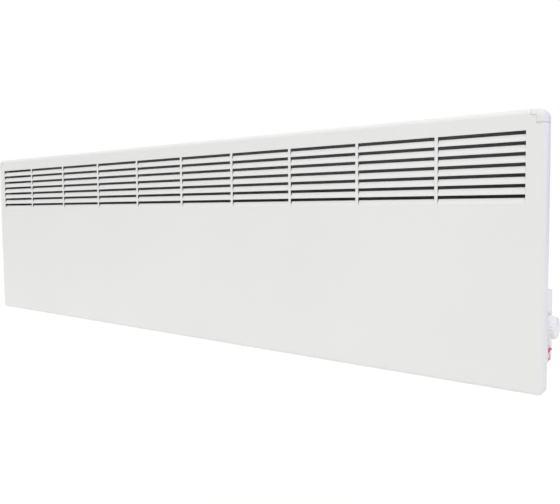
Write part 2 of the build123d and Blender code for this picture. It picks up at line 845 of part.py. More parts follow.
for side, name in SIDES:
    with BuildPart() as element_terminal:
        with BuildSketch(Plane.YZ.offset(side * sheath_half)):
            with Locations(element_centre):
                Circle(stud_r)
        extrude(amount=side * stud_length)
    element_terminal.part.label = f"element_terminal_{name}"
    export_step(element_terminal.part, f"parts/element_terminal_{name}.step")

    with BuildPart() as insulator:
        with BuildSketch(Plane.YZ.offset(side * bracket_x)):
            with Locations(element_centre):
                Circle(insulator_r)
        extrude(amount=insulator_half, both=True)
        with BuildSketch(Plane.YZ.offset(side * bracket_x)):
            with Locations(element_centre):
                Circle(insulator_r)
                Circle(insulator_neck_r, mode=Mode.SUBTRACT)
        extrude(amount=neck_half, both=True, mode=Mode.SUBTRACT)
        with BuildSketch(Plane.YZ.offset(side * bracket_x)):
            with Locations(element_centre):
                Circle(sheath_r)
        extrude(amount=insulator_half, both=True, mode=Mode.SUBTRACT)
    insulator.part.label = f"element_insulator_{name}"
    export_step(insulator.part, f"parts/element_insulator_{name}.step")

    with BuildPart() as element_bracket:
        with BuildSketch(Plane.YZ.offset(side * bracket_x)):
            with Locations((back_y - sheet - leg_depth / 2, element_z)):
                Rectangle(leg_depth, leg_height)
            with Locations(element_centre):
                Circle(insulator_neck_r + neck_gap, mode=Mode.SUBTRACT)
        extrude(amount=sheet / 2, both=True)
        with BuildSketch(Plane.XZ.offset(-back_y + sheet)):
            foot_middle = side * (bracket_x + (sheet - leg_foot) / 2)
            with Locations((foot_middle, element_z)):
                Rectangle(leg_foot, leg_height)
            with Locations(*[(side * foot_screw_x, z) for z in foot_screw_z]):
                Circle(small_hole_r, mode=Mode.SUBTRACT)
        extrude(amount=sheet)
    element_bracket.part.label = f"element_bracket_{name}"
    export_step(element_bracket.part, f"parts/element_bracket_{name}.step")

foot_places = [(side * foot_screw_x, z) for side, _ in SIDES for z in foot_screw_z]
with BuildPart() as element_screws:
    add(small_screws(foot_places))
element_screws.part.label = "element_screws"
export_step(element_screws.part, "parts/element_screws.step")

# ---------------------------------------------------------------- heat reflector

reflector_half = 515.0
reflector_sheet = 0.6
reflector_y = -29.0
reflector_top_z = -76.0
reflector_bottom_z = -160.0
reflector_bend_r = 1.0
reflector_foot = 5.0
foot_y = back_y - sheet - reflector_sheet / 2
rivet_length = 2.4
rivet_head_r = 3.2
rivet_head_height = 1.0
rivet_head_round = 0.6

with BuildPart() as heat_reflector:
    with BuildSketch(Plane.YZ.offset(-reflector_half)):
        with BuildLine() as hat:
            FilletPolyline(
                (foot_y, reflector_foot_z[0] - reflector_foot),
                (foot_y, reflector_bottom_z),
                (reflector_y, reflector_bottom_z),
                (reflector_y, reflector_top_z),
                (foot_y, reflector_top_z),
                (foot_y, reflector_foot_z[1] + reflector_foot),
                radius=reflector_bend_r,
            )
        trace(hat.line, reflector_sheet)
    extrude(amount=2 * reflector_half)
    with BuildSketch(Plane.XZ.offset(-back_y)):
        with Locations(*[(x, z) for x in rivet_x for z in reflector_foot_z]):
            Circle(small_hole_r)
    extrude(amount=2 * sheet, mode=Mode.SUBTRACT)
heat_reflector.part.label = "heat_reflector"
export_step(heat_reflector.part, "parts/heat_reflector.step")

with BuildPart() as reflector_rivets:
    rivet_places = [(x, z) for x in rivet_x for z in reflector_foot_z]
    with BuildSketch(Plane.XZ.offset(-back_y)):
        with Locations(*rivet_places):
            Circle(small_screw_r)
    extrude(amount=rivet_length)
    with BuildSketch(Plane.XZ.offset(-back_y)):
        with Locations(*rivet_places):
            Circle(rivet_head_r)
    extrude(amount=-rivet_head_height)
    fillet(reflector_rivets.faces().group_by(Axis.Y)[-1].edges(), rivet_head_round)
reflector_rivets.part.label = "reflector_rivets"
export_step(reflector_rivets.part, "parts/reflector_rivets.step")

# ---------------------------------------------------------------- overheat cut-out

shelf_z = -71.0
shelf_reach = 36.0
clip_width = 24.0
clip_margin = 6.0
disc_r = 8.0
disc_height = 9.0
disc_y = -45.0
tag_z = shelf_z + 5.5
tag_y = (-49.0, -41.0)
tag_sheet = 0.8
tag_width = 4.8
tag_length = 10.0
tag_middle = 9.0
disc_edge_r = 1.0

with BuildPart() as cutout_clip:
    with BuildSketch(Plane.XY.offset(shelf_z)):
        with Locations((cutout_x, back_y - sheet - shelf_reach / 2)):
            Rectangle(clip_width, shelf_reach)
    extrude(amount=-sheet)
    with BuildSketch(Plane.XZ.offset(-back_y + sheet)):
        with Locations((cutout_x, (shelf_z + cutout_foot_z + clip_margin) / 2)):
            Rectangle(clip_width, cutout_foot_z + clip_margin - shelf_z)
        with Locations((cutout_x, cutout_foot_z)):
            Circle(small_hole_r, mode=Mode.SUBTRACT)
    extrude(amount=sheet)
cutout_clip.part.label = "cutout_clip"
export_step(cutout_clip.part, "parts/cutout_clip.step")

with BuildPart() as overheat_cutout:
    with BuildSketch(Plane.XY.offset(shelf_z)):
        with Locations((cutout_x, disc_y)):
            Circle(disc_r)
    extrude(amount=disc_height)
    fillet(overheat_cutout.faces().sort_by(Axis.Z)[-1].edges(), disc_edge_r)
    with BuildSketch(Plane.XY.offset(tag_z - tag_sheet / 2)):
        with Locations(*[(cutout_x + tag_middle, y) for y in tag_y]):
            Rectangle(tag_length, tag_width)
    extrude(amount=tag_sheet)
overheat_cutout.part.label = "overheat_cutout"
export_step(overheat_cutout.part, "parts/overheat_cutout.step")

with BuildPart() as cutout_screw:
    add(small_screws([(cutout_x, cutout_foot_z)]))
cutout_screw.part.label = "cutout_screw"
export_step(cutout_screw.part, "parts/cutout_screw.step")

# ---------------------------------------------------------------- earth point

with BuildPart() as earth_screw:
    add(small_screws([(earth_x, earth_z)]))
earth_screw.part.label = "earth_screw"
export_step(earth_screw.part, "parts/earth_screw.step")

earth_ring_r = 4.0
earth_tag_length = 12.0

with BuildPart() as earth_tag:
    with BuildSketch(Plane.XZ.offset(-back_y + sheet)):
        with Locations((earth_x, earth_z)):
            Circle(earth_ring_r)
        with Locations((earth_x + earth_tag_length / 2, earth_z)):
            Rectangle(earth_tag_length, tag_width)
        with Locations((earth_x, earth_z)):
            Circle(small_hole_r, mode=Mode.SUBTRACT)
    extrude(amount=tag_sheet)
earth_tag.part.label = "earth_tag"
export_step(earth_tag.part, "parts/earth_tag.step")

# ---------------------------------------------------------------- wires

wire_bend_r = 6.0
live_x = cutout_x + tag_middle + tag_length / 2
live_slope_x = (600.0, 580.0)
element_drop = 18.0
neutral_rise = 28.0
neutral_x = 600.0
earth_wire_x = 606.0
stud_x = sheath_half + 9.0
duct_z = -172.0
earth_wire_y = back_y - sheet - tag_sheet - core_r - 0.4


def wire(points):
    """Round insulated core along straight runs joined by arcs."""
    with BuildPart() as core:
        with BuildLine() as route:
            FilletPolyline(*points, radius=wire_bend_r)
        with BuildSketch(Plane(origin=route.line @ 0, z_dir=route.line % 0)):
            Circle(core_r)
        sweep()
    return core.part


with BuildPart() as wire_live:
    add(
        wire(
            [
                (block_inner_x, channel_y[0], block_z),
                (live_slope_x[0], channel_y[0], block_z),
                (live_slope_x[1], channel_y[0], tag_z),
                (live_x, channel_y[0], tag_z),
            ]
        )
    )
wire_live.part.label = "wire_live"
export_step(wire_live.part, "parts/wire_live.step")

with BuildPart() as wire_element:
    add(
        wire(
            [
                (live_x, tag_y[1], tag_z),
                (stud_x, tag_y[1], tag_z),
                (stud_x, element_y, tag_z - element_drop),
                (stud_x, element_y, element_z + stud_r),
            ]
        )
    )
wire_element.part.label = "wire_element"
export_step(wire_element.part, "parts/wire_element.step")

with BuildPart() as wire_neutral:
    add(
        wire(
            [
                (block_inner_x, channel_y[2], block_z),
                (neutral_x, channel_y[2], block_z),
                (neutral_x, channel_y[2], duct_z),
                (-stud_x, channel_y[2], duct_z),
                (-stud_x, element_y, element_z - neutral_rise),
                (-stud_x, element_y, element_z - stud_r),
            ]
        )
    )
wire_neutral.part.label = "wire_neutral"
export_step(wire_neutral.part, "parts/wire_neutral.step")

with BuildPart() as wire_earth:
    add(
        wire(
            [
                (block_inner_x, channel_y[1], block_z),
                (earth_wire_x, channel_y[1], block_z),
                (earth_wire_x, channel_y[1], earth_z),
                (earth_wire_x, earth_wire_y, earth_z),
                (earth_x + earth_tag_length, earth_wire_y, earth_z),
            ]
        )
    )
wire_earth.part.label = "wire_earth"
export_step(wire_earth.part, "parts/wire_earth.step")

clip_x = (-440.0, -120.0, 200.0, 520.0)
clip_base = (6.0, 8.0)
clip_shift = 1.0
clip_height = duct_z + 4.0 + casing_half_height - sheet

with BuildPart() as wire_clips:
    with BuildSketch(Plane.XY.offset(-casing_half_height + sheet)):
        with Locations(*[(x, channel_y[2] + clip_shift) for x in clip_x]):
            Rectangle(*clip_base)
    extrude(amount=clip_height)
    with BuildSketch(Plane.YZ.offset(-half_width)):
        with Locations((channel_y[2], duct_z)):
            Circle(core_r)
    extrude(amount=panel_width, mode=Mode.SUBTRACT)
wire_clips.part.label = "wire_clips"
export_step(wire_clips.part, "parts/wire_clips.step")

# ---------------------------------------------------------------- wall bracket

rail_half = 340.0
rail_half_height = 45.0
rail_fold = 8.0
wall_screw_x = 320.0
wall_screw_z = 30.0
wall_screw_hole_r = 3.5
arm_rivet_z = (-25.0, 25.0)
arm_rivet_r = 2.5
arm_rivet_fit = 0.05
arm_rivet_head_r = 4.5
arm_rivet_head_height = 1.6
arm_rivet_round = 0.9
fold_notch = 3.0
arm_bottom_z = -150.0
arm_top_z = latch_shelf_z + bracket_sheet
arm_front_y = back_y + 0.4
side_top_z = latch_shelf_z - 10.0

with BuildPart() as wall_rail:
    with BuildSketch(Plane.XZ):
        Rectangle(2 * rail_half, 2 * rail_half_height)
        with GridLocations(2 * wall_screw_x, 2 * wall_screw_z, 2, 2):
            Circle(wall_screw_hole_r, mode=Mode.SUBTRACT)
        with Locations(*[(side * arm_x, z) for side, _ in SIDES for z in arm_rivet_z]):
            Circle(arm_rivet_r + arm_rivet_fit, mode=Mode.SUBTRACT)
    extrude(amount=bracket_sheet)
    # stiffening folds, notched where the arms cross
    with BuildSketch(Plane.XZ.offset(bracket_sheet)):
        for end in (-1, 1):
            with Locations((0, end * (rail_half_height - bracket_sheet / 2))):
                Rectangle(2 * rail_half, bracket_sheet)
        for side, _ in SIDES:
            with Locations((side * arm_x, 0)):
                Rectangle(
                    2 * arm_half_width + fold_notch, 2 * rail_half_height, mode=Mode.SUBTRACT
                )
    extrude(amount=rail_fold)
wall_rail.part.label = "wall_rail"
export_step(wall_rail.part, "parts/wall_rail.step")

hook_root_z = -130.0
hook_tip_z = -108.0
hook_tip_y = back_y - 6.0
hook_notch_y = back_y - sheet - 1.0
latch_axis_y = -10.0
latch_pin_r = 2.5
latch_hole_r = 2.55
hook_gap = 0.1
hook_taper = 3.0
hook_back_taper = 2.0
arm_bevel = (12.0, 10.0)
shelf_trim = 4.0
shelf_back = 1.0

for side, name in SIDES:
    with BuildPart() as bracket_arm:
        # plate against the rail
        with BuildSketch(Plane.XZ.offset(bracket_sheet)):
            with Locations((side * arm_x, (arm_bottom_z + arm_top_z) / 2)):
                Rectangle(2 * arm_half_width, arm_top_z - arm_bottom_z)
            with Locations(*[(side * arm_x, z) for z in arm_rivet_z]):
                Circle(arm_rivet_r + arm_rivet_fit, mode=Mode.SUBTRACT)
        extrude(amount=bracket_sheet)
        # side wall with the hook that carries the casing
        with BuildSketch(Plane.YZ.offset(side * (arm_x + arm_half_width))):
            with BuildLine():
                Polyline(
                    (-bracket_sheet, arm_bottom_z),
                    (arm_front_y, arm_bottom_z + arm_bevel[0]),
                    (arm_front_y, hook_root_z),
                    (hook_tip_y, hook_root_z + hook_taper),
                    (hook_tip_y, hook_tip_z),
                    (hook_notch_y, hook_tip_z - hook_back_taper),
                    (hook_notch_y, hook_seat_z - hook_gap),
                    (arm_front_y, hook_seat_z - hook_gap),
                    (arm_front_y, side_top_z - arm_bevel[1]),
                    (arm_front_y + arm_bevel[1], side_top_z),
                    (-bracket_sheet, side_top_z),
                    close=True,
                )
            make_face()
        extrude(amount=-side * bracket_sheet)
        # shelf that carries the latch
        with BuildSketch(Plane.XY.offset(latch_shelf_z)):
            with Locations((side * arm_x, (arm_front_y + shelf_back - bracket_sheet) / 2)):
                Rectangle(
                    2 * (arm_half_width - shelf_trim), -arm_front_y - shelf_back - bracket_sheet
                )
            with Locations((side * arm_x, latch_axis_y)):
                Circle(latch_hole_r, mode=Mode.SUBTRACT)
        extrude(amount=bracket_sheet)
    bracket_arm.part.label = f"bracket_arm_{name}"
    export_step(bracket_arm.part, f"parts/bracket_arm_{name}.step")

with BuildPart() as bracket_rivets:
    arm_rivets = [(side * arm_x, z) for side, _ in SIDES for z in arm_rivet_z]
    with BuildSketch(Plane.XZ):
        with Locations(*arm_rivets):
            Circle(arm_rivet_r)
    extrude(amount=2 * bracket_sheet)
    with BuildSketch(Plane.XZ.offset(2 * bracket_sheet)):
        with Locations(*arm_rivets):
            Circle(arm_rivet_head_r)
    extrude(amount=arm_rivet_head_height)
    fillet(bracket_rivets.faces().group_by(Axis.Y)[0].edges(), arm_rivet_round)
bracket_rivets.part.label = "bracket_rivets"
export_step(bracket_rivets.part, "parts/bracket_rivets.step")

# ---------------------------------------------------------------- latches

latch_disc_r = 7.0
latch_reach = 14.0
latch_width = 8.0
latch_bottom_z = arm_top_z + 0.3
latch_thickness = 2.5
latch_head_r = 4.5
latch_head_height = 2.5
latch_tip_r = 2.0
latch_slot = 1.4
peened_r = 4.0
peened_height = 2.0
rivet_head_top_z = latch_shelf_z - 0.2

for side, name in SIDES:
    with BuildPart() as latch:
        with BuildSketch(Plane.XY.offset(latch_bottom_z)):
            with Locations((side * arm_x, latch_axis_y)):
                Circle(latch_disc_r)
            with Locations((side * arm_x, latch_axis_y - latch_reach / 2)):
                RectangleRounded(latch_width, latch_reach, latch_tip_r)
        extrude(amount=latch_thickness)
        with BuildSketch(Plane.XY.offset(latch_bottom_z + latch_thickness)):
            with Locations((side * arm_x, latch_axis_y)):
                Circle(latch_head_r)
        extrude(amount=latch_head_height)
        # screwdriver slot
        with BuildSketch(Plane.XY.offset(latch_bottom_z + latch_thickness + latch_head_height)):
            with Locations((side * arm_x, latch_axis_y)):
                Rectangle(latch_slot, 2 * latch_head_r)
        extrude(amount=-latch_slot, mode=Mode.SUBTRACT)
        # pivot through the shelf, with its peened end below
        with BuildSketch(Plane.XY.offset(latch_bottom_z)):
            with Locations((side * arm_x, latch_axis_y)):
                Circle(latch_pin_r)
        extrude(amount=rivet_head_top_z - latch_bottom_z)
        with BuildSketch(Plane.XY.offset(rivet_head_top_z)):
            with Locations((side * arm_x, latch_axis_y)):
                Circle(peened_r)
        extrude(amount=-peened_height)
    latch.part.label = f"latch_{name}"
    export_step(latch.part, f"parts/latch_{name}.step")

# ---------------------------------------------------------------- rear spacers

spacer_x = 600.0
spacer_z = -150.0
spacer_r = 8.0
spacer_edge_r = 1.5

for side, name in SIDES:
    with BuildPart() as spacer:
        with BuildSketch(Plane.XZ.offset(-back_y)):
            with Locations((side * spacer_x, spacer_z)):
                Circle(spacer_r)
        extrude(amount=back_y)
        fillet(spacer.faces().sort_by(Axis.Y)[-1].edges(), spacer_edge_r)
    spacer.part.label = f"rear_spacer_{name}"
    export_step(spacer.part, f"parts/rear_spacer_{name}.step")
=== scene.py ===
"""Electric panel heater: the looks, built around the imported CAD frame.

The scene is in metres. Mesh code works in millimetres and multiplies by MM at the end.
"""

import json
from math import atan2, copysign, cos, degrees, pi, radians, sin, sqrt

import bmesh
import bpy
from mathutils import Matrix, Vector

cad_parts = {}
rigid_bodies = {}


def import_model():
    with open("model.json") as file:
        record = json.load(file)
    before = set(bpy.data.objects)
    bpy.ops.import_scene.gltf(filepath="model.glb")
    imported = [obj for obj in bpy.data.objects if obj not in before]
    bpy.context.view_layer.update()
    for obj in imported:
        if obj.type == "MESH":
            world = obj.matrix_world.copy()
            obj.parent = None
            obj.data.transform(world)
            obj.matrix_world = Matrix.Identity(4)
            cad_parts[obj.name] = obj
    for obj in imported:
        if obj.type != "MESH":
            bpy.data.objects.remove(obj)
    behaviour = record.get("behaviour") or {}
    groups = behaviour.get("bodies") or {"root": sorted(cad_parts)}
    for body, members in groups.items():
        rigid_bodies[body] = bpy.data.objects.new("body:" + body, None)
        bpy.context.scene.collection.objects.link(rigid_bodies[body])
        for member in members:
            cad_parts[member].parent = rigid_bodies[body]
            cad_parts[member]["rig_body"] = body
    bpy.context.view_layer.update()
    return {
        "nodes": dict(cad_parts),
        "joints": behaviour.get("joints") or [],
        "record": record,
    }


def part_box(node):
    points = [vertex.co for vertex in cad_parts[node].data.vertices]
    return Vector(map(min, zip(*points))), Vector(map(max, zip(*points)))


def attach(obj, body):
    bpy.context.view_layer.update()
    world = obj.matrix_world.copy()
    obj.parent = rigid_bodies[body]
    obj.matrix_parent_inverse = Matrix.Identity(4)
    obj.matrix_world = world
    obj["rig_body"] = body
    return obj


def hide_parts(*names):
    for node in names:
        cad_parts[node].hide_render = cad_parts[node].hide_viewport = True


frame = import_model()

MM = 0.001
SIDES = ((-1, "left"), (1, "right"))
scene = bpy.context.scene

# ---------------------------------------------------------------- sizes from the frame

PANEL_LOW, PANEL_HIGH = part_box("front_panel")
HOUSING_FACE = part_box("control_housing")[1].x
CASING_LOW, CASING_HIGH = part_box("rear_casing")
KNOB_LOW, KNOB_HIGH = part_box("thermostat_knob")

# ---------------------------------------------------------------- materials


class Nodes:
    """Short calls for building one material's node tree."""

    def __init__(self, name, base, roughness, metallic=0.0, **inputs):
        self.material = bpy.data.materials.new(name)
        self.material.use_nodes = True
        self.tree = self.material.node_tree
        self.shader = self.tree.nodes["Principled BSDF"]
        self.set("Base Color", (*base, 1))
        self.set("Roughness", roughness)
        self.set("Metallic", metallic)
        for key, value in inputs.items():
            self.set(key.replace("_", " "), value)
        self.place = self.add("ShaderNodeTexCoord").outputs["Object"]
        self.base = base
        self.roughness = roughness

    def set(self, name, value):
        self.shader.inputs[name].default_value = value

    def add(self, kind, **settings):
        node = self.tree.nodes.new(kind)
        for key, value in settings.items():
            setattr(node, key, value)
        return node

    def link(self, source, target):
        self.tree.links.new(source, target)

    def noise(self, scale, detail=2.0, rough=0.5, stretch=(1, 1, 1)):
        mapping = self.add("ShaderNodeMapping")
        mapping.inputs["Scale"].default_value = stretch
        self.link(self.place, mapping.inputs["Vector"])
        node = self.add("ShaderNodeTexNoise")
        node.inputs["Scale"].default_value = scale
        node.inputs["Detail"].default_value = detail
        node.inputs["Roughness"].default_value = rough
        self.link(mapping.outputs[0], node.inputs["Vector"])
        return node.outputs["Fac"]

    def span(self, value, low, high, start=0.3, end=0.7):
        """Value mapped from start..end to low..high."""
        node = self.add("ShaderNodeMapRange")
        node.inputs["From Min"].default_value = start
        node.inputs["From Max"].default_value = end
        node.inputs["To Min"].default_value = low
        node.inputs["To Max"].default_value = high
        self.link(value, node.inputs["Value"])
        return node.outputs["Result"]

    def vary_roughness(self, value, swing):
        out = self.span(value, self.roughness - swing, self.roughness + swing)
        self.link(out, self.shader.inputs["Roughness"])

    def vary_colour(self, value, dark, light, start=0.3, end=0.7):
        """Colour between the base times dark and the base times light."""
        ramp = self.add("ShaderNodeValToRGB")
        for stop, place, gain in zip(ramp.color_ramp.elements, (start, end), (dark, light)):
            stop.position = place
            stop.color = (*[min(1.0, c * gain) for c in self.base], 1)
        self.link(value, ramp.inputs["Fac"])
        self.link(ramp.outputs["Color"], self.shader.inputs["Base Color"])

    def bump(self, *layers):
        """Bump layers, each (value, height in metres, strength)."""
        normal = None
        for value, height, strength in layers:
            node = self.add("ShaderNodeBump")
            node.inputs["Strength"].default_value = strength
            node.inputs["Distance"].default_value = height
            self.link(value, node.inputs["Height"])
            if normal is not None:
                self.link(normal, node.inputs["Normal"])
            normal = node.outputs["Normal"]
        self.link(normal, self.shader.inputs["Normal"])


def powder_coat(name, base, roughness):
    """Satin powder coat: a fine orange peel and slight changes of gloss."""
    n = Nodes(name, base, roughness)
    n.set("Coat Weight", 0.12)
    n.set("Coat Roughness", 0.25)
    n.vary_colour(n.noise(3.0, 2.0), 0.985, 1.012)
    n.vary_roughness(n.noise(60.0, 3.0), 0.05)
    n.bump((n.noise(420.0, 2.0), 0.00006, 0.5), (n.noise(1500.0, 1.0), 0.00002, 0.4))
    return n.material


def moulded(name, base, roughness):
    """Injection-moulded plastic with a fine spark-eroded grain."""
    n = Nodes(name, base, roughness)
    n.vary_colour(n.noise(24.0, 2.0), 0.98, 1.012)
    n.vary_roughness(n.noise(180.0, 3.0), 0.05)
    n.bump((n.noise(2600.0, 2.0), 0.00002, 0.5), (n.noise(90.0, 1.0), 0.00008, 0.15))
    return n.material


def zinc_plate(name, base, roughness):
    """Bright zinc plating with rolling marks along X and a cloudy passivation."""
    n = Nodes(name, base, roughness, metallic=1.0)
    n.vary_colour(n.noise(140.0, 3.0), 0.86, 1.08)
    n.vary_roughness(n.noise(400.0, 3.0), 0.09)
    n.bump((n.noise(900.0, 2.0, stretch=(0.08, 1, 1)), 0.00002, 0.5))
    return n.material


def galvanised(name, base, roughness):
    """Hot-dip galvanised sheet: large angular crystals that differ in tone and gloss."""
    n = Nodes(name, base, roughness, metallic=0.9)
    crystals = n.add("ShaderNodeTexVoronoi")
    crystals.inputs["Scale"].default_value = 150.0
    n.link(n.place, crystals.inputs["Vector"])
    tone = n.add("ShaderNodeSeparateColor")
    n.link(crystals.outputs["Color"], tone.inputs["Color"])
    n.vary_colour(tone.outputs["Red"], 0.88, 1.06, 0.1, 0.9)
    n.link(
        n.span(tone.outputs["Green"], roughness - 0.1, roughness + 0.12, 0.0, 1.0),
        n.shader.inputs["Roughness"],
    )
    n.bump((crystals.outputs["Distance"], 0.00004, 0.25), (n.noise(700.0), 0.00002, 0.4))
    return n.material


def dull_metal(name, base, roughness, heat):
    """Rolled metal with lengthwise lines, darkened unevenly by heat."""
    n = Nodes(name, base, roughness, metallic=1.0)
    n.vary_colour(n.noise(18.0, 4.0, stretch=(1, 3, 3)), heat, 1.06)
    n.vary_roughness(n.noise(260.0, 3.0, stretch=(0.1, 1, 1)), 0.08)
    n.bump((n.noise(1200.0, 2.0, stretch=(0.03, 1, 1)), 0.00003, 0.5))
    return n.material


def glossy_red(name, base):
    """Tinted polycarbonate of a lit rocker: glossy, a little light passing through."""
    n = Nodes(name, base, 0.16)
    n.set("Coat Weight", 0.5)
    n.set("Coat Roughness", 0.06)
    n.set("Subsurface Weight", 0.18)
    n.set("Subsurface Scale", 0.002)
    n.set("Subsurface Radius", (1.0, 0.12, 0.1))
    n.vary_colour(n.noise(220.0, 2.0), 0.9, 1.08)
    n.vary_roughness(n.noise(500.0, 2.0), 0.04)
    n.bump((n.noise(700.0, 2.0), 0.00002, 0.2))
    return n.material


def ceramic(name, base):
    """Unglazed steatite with small dark specks."""
    n = Nodes(name, base, 0.6)
    n.vary_colour(n.noise(900.0, 4.0), 0.82, 1.05, 0.35, 0.55)
    n.vary_roughness(n.noise(300.0), 0.08)
    n.bump((n.noise(1400.0, 3.0), 0.00004, 0.5))
    return n.material


def rubber(name, base):
    """Matt moulded rubber with a dusty bloom."""
    n = Nodes(name, base, 0.78)
    n.vary_colour(n.noise(70.0, 4.0), 0.8, 1.5)
    n.vary_roughness(n.noise(240.0), 0.08)
    n.bump((n.noise(1600.0, 3.0), 0.00004, 0.6))
    return n.material


def earth_stripes(name):
    """Green core with two yellow stripes that wind slowly round it."""
    green = (0.05, 0.30, 0.05)
    n = Nodes(name, green, 0.38)
    wave = n.add("ShaderNodeTexWave", wave_type="BANDS", bands_direction="DIAGONAL")
    wave.inputs["Scale"].default_value = 60.0
    n.link(n.place, wave.inputs["Vector"])
    ramp = n.add("ShaderNodeValToRGB")
    ramp.color_ramp.interpolation = "CONSTANT"
    ramp.color_ramp.elements[0].color = (*green, 1)
    ramp.color_ramp.elements[1].position = 0.6
    ramp.color_ramp.elements[1].color = (0.75, 0.62, 0.03, 1)
    n.link(wave.outputs["Fac"], ramp.inputs["Fac"])
    n.link(ramp.outputs["Color"], n.shader.inputs["Base Color"])
    n.vary_roughness(n.noise(300.0), 0.05)
    n.bump((n.noise(1200.0), 0.00002, 0.4))
    return n.material


MATERIALS = {
    "white_paint": powder_coat("white_paint", (0.735, 0.735, 0.73), 0.42),
    "cap_plastic": moulded("cap_plastic", (0.715, 0.715, 0.715), 0.36),
    "housing_plastic": moulded("housing_plastic", (0.78, 0.78, 0.79), 0.46),
    "knob_plastic": moulded("knob_plastic", (0.78, 0.78, 0.775), 0.34),
    "switch_red": glossy_red("switch_red", (0.52, 0.055, 0.095)),
    "black_plastic": moulded("black_plastic", (0.028, 0.028, 0.03), 0.45),
    "block_plastic": moulded("block_plastic", (0.72, 0.70, 0.62), 0.5),
    "zinc_steel": zinc_plate("zinc_steel", (0.68, 0.69, 0.70), 0.32),
    "galvanised": galvanised("galvanised", (0.60, 0.62, 0.64), 0.38),
    "element_steel": dull_metal("element_steel", (0.34, 0.31, 0.28), 0.45, 0.55),
    "element_aluminium": dull_metal("element_aluminium", (0.74, 0.75, 0.76), 0.36, 0.8),
    "white_ceramic": ceramic("white_ceramic", (0.83, 0.79, 0.72)),
    "brass_contact": dull_metal("brass_contact", (0.72, 0.52, 0.22), 0.3, 0.8),
    "spacer_rubber": rubber("spacer_rubber", (0.05, 0.05, 0.052)),
    "wire_brown": moulded("wire_brown", (0.16, 0.06, 0.03), 0.36),
    "wire_blue": moulded("wire_blue", (0.04, 0.13, 0.50), 0.36),
    "wire_green": earth_stripes("wire_green"),
    "marking": moulded("marking", (0.16, 0.165, 0.175), 0.5),
    "white_marking": moulded("white_marking", (0.85, 0.85, 0.84), 0.45),
    # Dark grey for the inward faces of the tray, casing and end plates: painted shade that darkens
    # the insides seen through the louvre slots.
    "painted_inner_shade": powder_coat("painted_inner_shade", (0.20, 0.205, 0.215), 0.6),
}

SLOT_OF = {row["node"]: row["material_slot"] for row in frame["record"]["subparts"]}
for node_name, node in frame["nodes"].items():
    node.data.materials.clear()
    node.data.materials.append(MATERIALS[SLOT_OF[node_name]])

# ---------------------------------------------------------------- floor, light and camera

FLOOR_DROP = 0.75
FLOOR_SIZE = 30.0
FLOOR_COLOUR = (0.93, 0.93, 0.905)


def make_floor():
    mesh = bpy.data.meshes.new("floor")
    half = FLOOR_SIZE / 2
    corners = [(-half, -half, 0), (half, -half, 0), (half, half, 0), (-half, half, 0)]
    mesh.from_pydata(corners, [], [(0, 1, 2, 3)])
    floor = bpy.data.objects.new("floor", mesh)
    floor.location.z = PANEL_LOW.z - FLOOR_DROP
    scene.collection.objects.link(floor)
    n = Nodes("floor_paint", FLOOR_COLOUR, 0.8)
    n.vary_roughness(n.noise(5.0), 0.05)
    n.bump((n.noise(40.0), 0.0005, 0.1))
    mesh.materials.append(n.material)


KEY_HEIGHT = 45.0
KEY_HEADING = 13.0
KEY_SPREAD = 60.0
KEY_STRENGTH = 0.945


def make_key_light():
    """Broad soft light from high in front, a little towards the control end."""
    lamp = bpy.data.lights.new("key", "SUN")
    lamp.energy = KEY_STRENGTH
    lamp.angle = radians(KEY_SPREAD)
    holder = bpy.data.objects.new("key", lamp)
    holder.rotation_euler = (radians(90 - KEY_HEIGHT), 0, radians(KEY_HEADING))
    scene.collection.objects.link(holder)


SIDE_LAMP_PLACE = (1.10, 0.12, 0.28)
SIDE_LAMP_TARGET = (0.69, -0.07, 0.10)
SIDE_LAMP_SIZE = 0.16
SIDE_LAMP_POWER = 0.52
SIDE_LAMP_COLOUR = (0.44, 0.36, 1.0)


def make_side_lamp():
    """Faint cool lamp beside the upper half of the control end."""
    lamp = bpy.data.lights.new("side", "AREA")
    lamp.size = SIDE_LAMP_SIZE
    lamp.energy = SIDE_LAMP_POWER
    lamp.color = SIDE_LAMP_COLOUR
    holder = bpy.data.objects.new("side", lamp)
    holder.location = SIDE_LAMP_PLACE
    aim = Vector(SIDE_LAMP_TARGET) - Vector(SIDE_LAMP_PLACE)
    holder.rotation_euler = aim.to_track_quat("-Z", "Y").to_euler()
    holder.visible_camera = False
    scene.collection.objects.link(holder)


WORLD_LEFT = (1.0, 1.0, 0.975)
WORLD_RIGHT = (0.99, 0.975, 1.08)
WORLD_RIGHT_STOP = 0.85
WORLD_LEVEL = 0.30
WORLD_OVERHEAD = 1.30


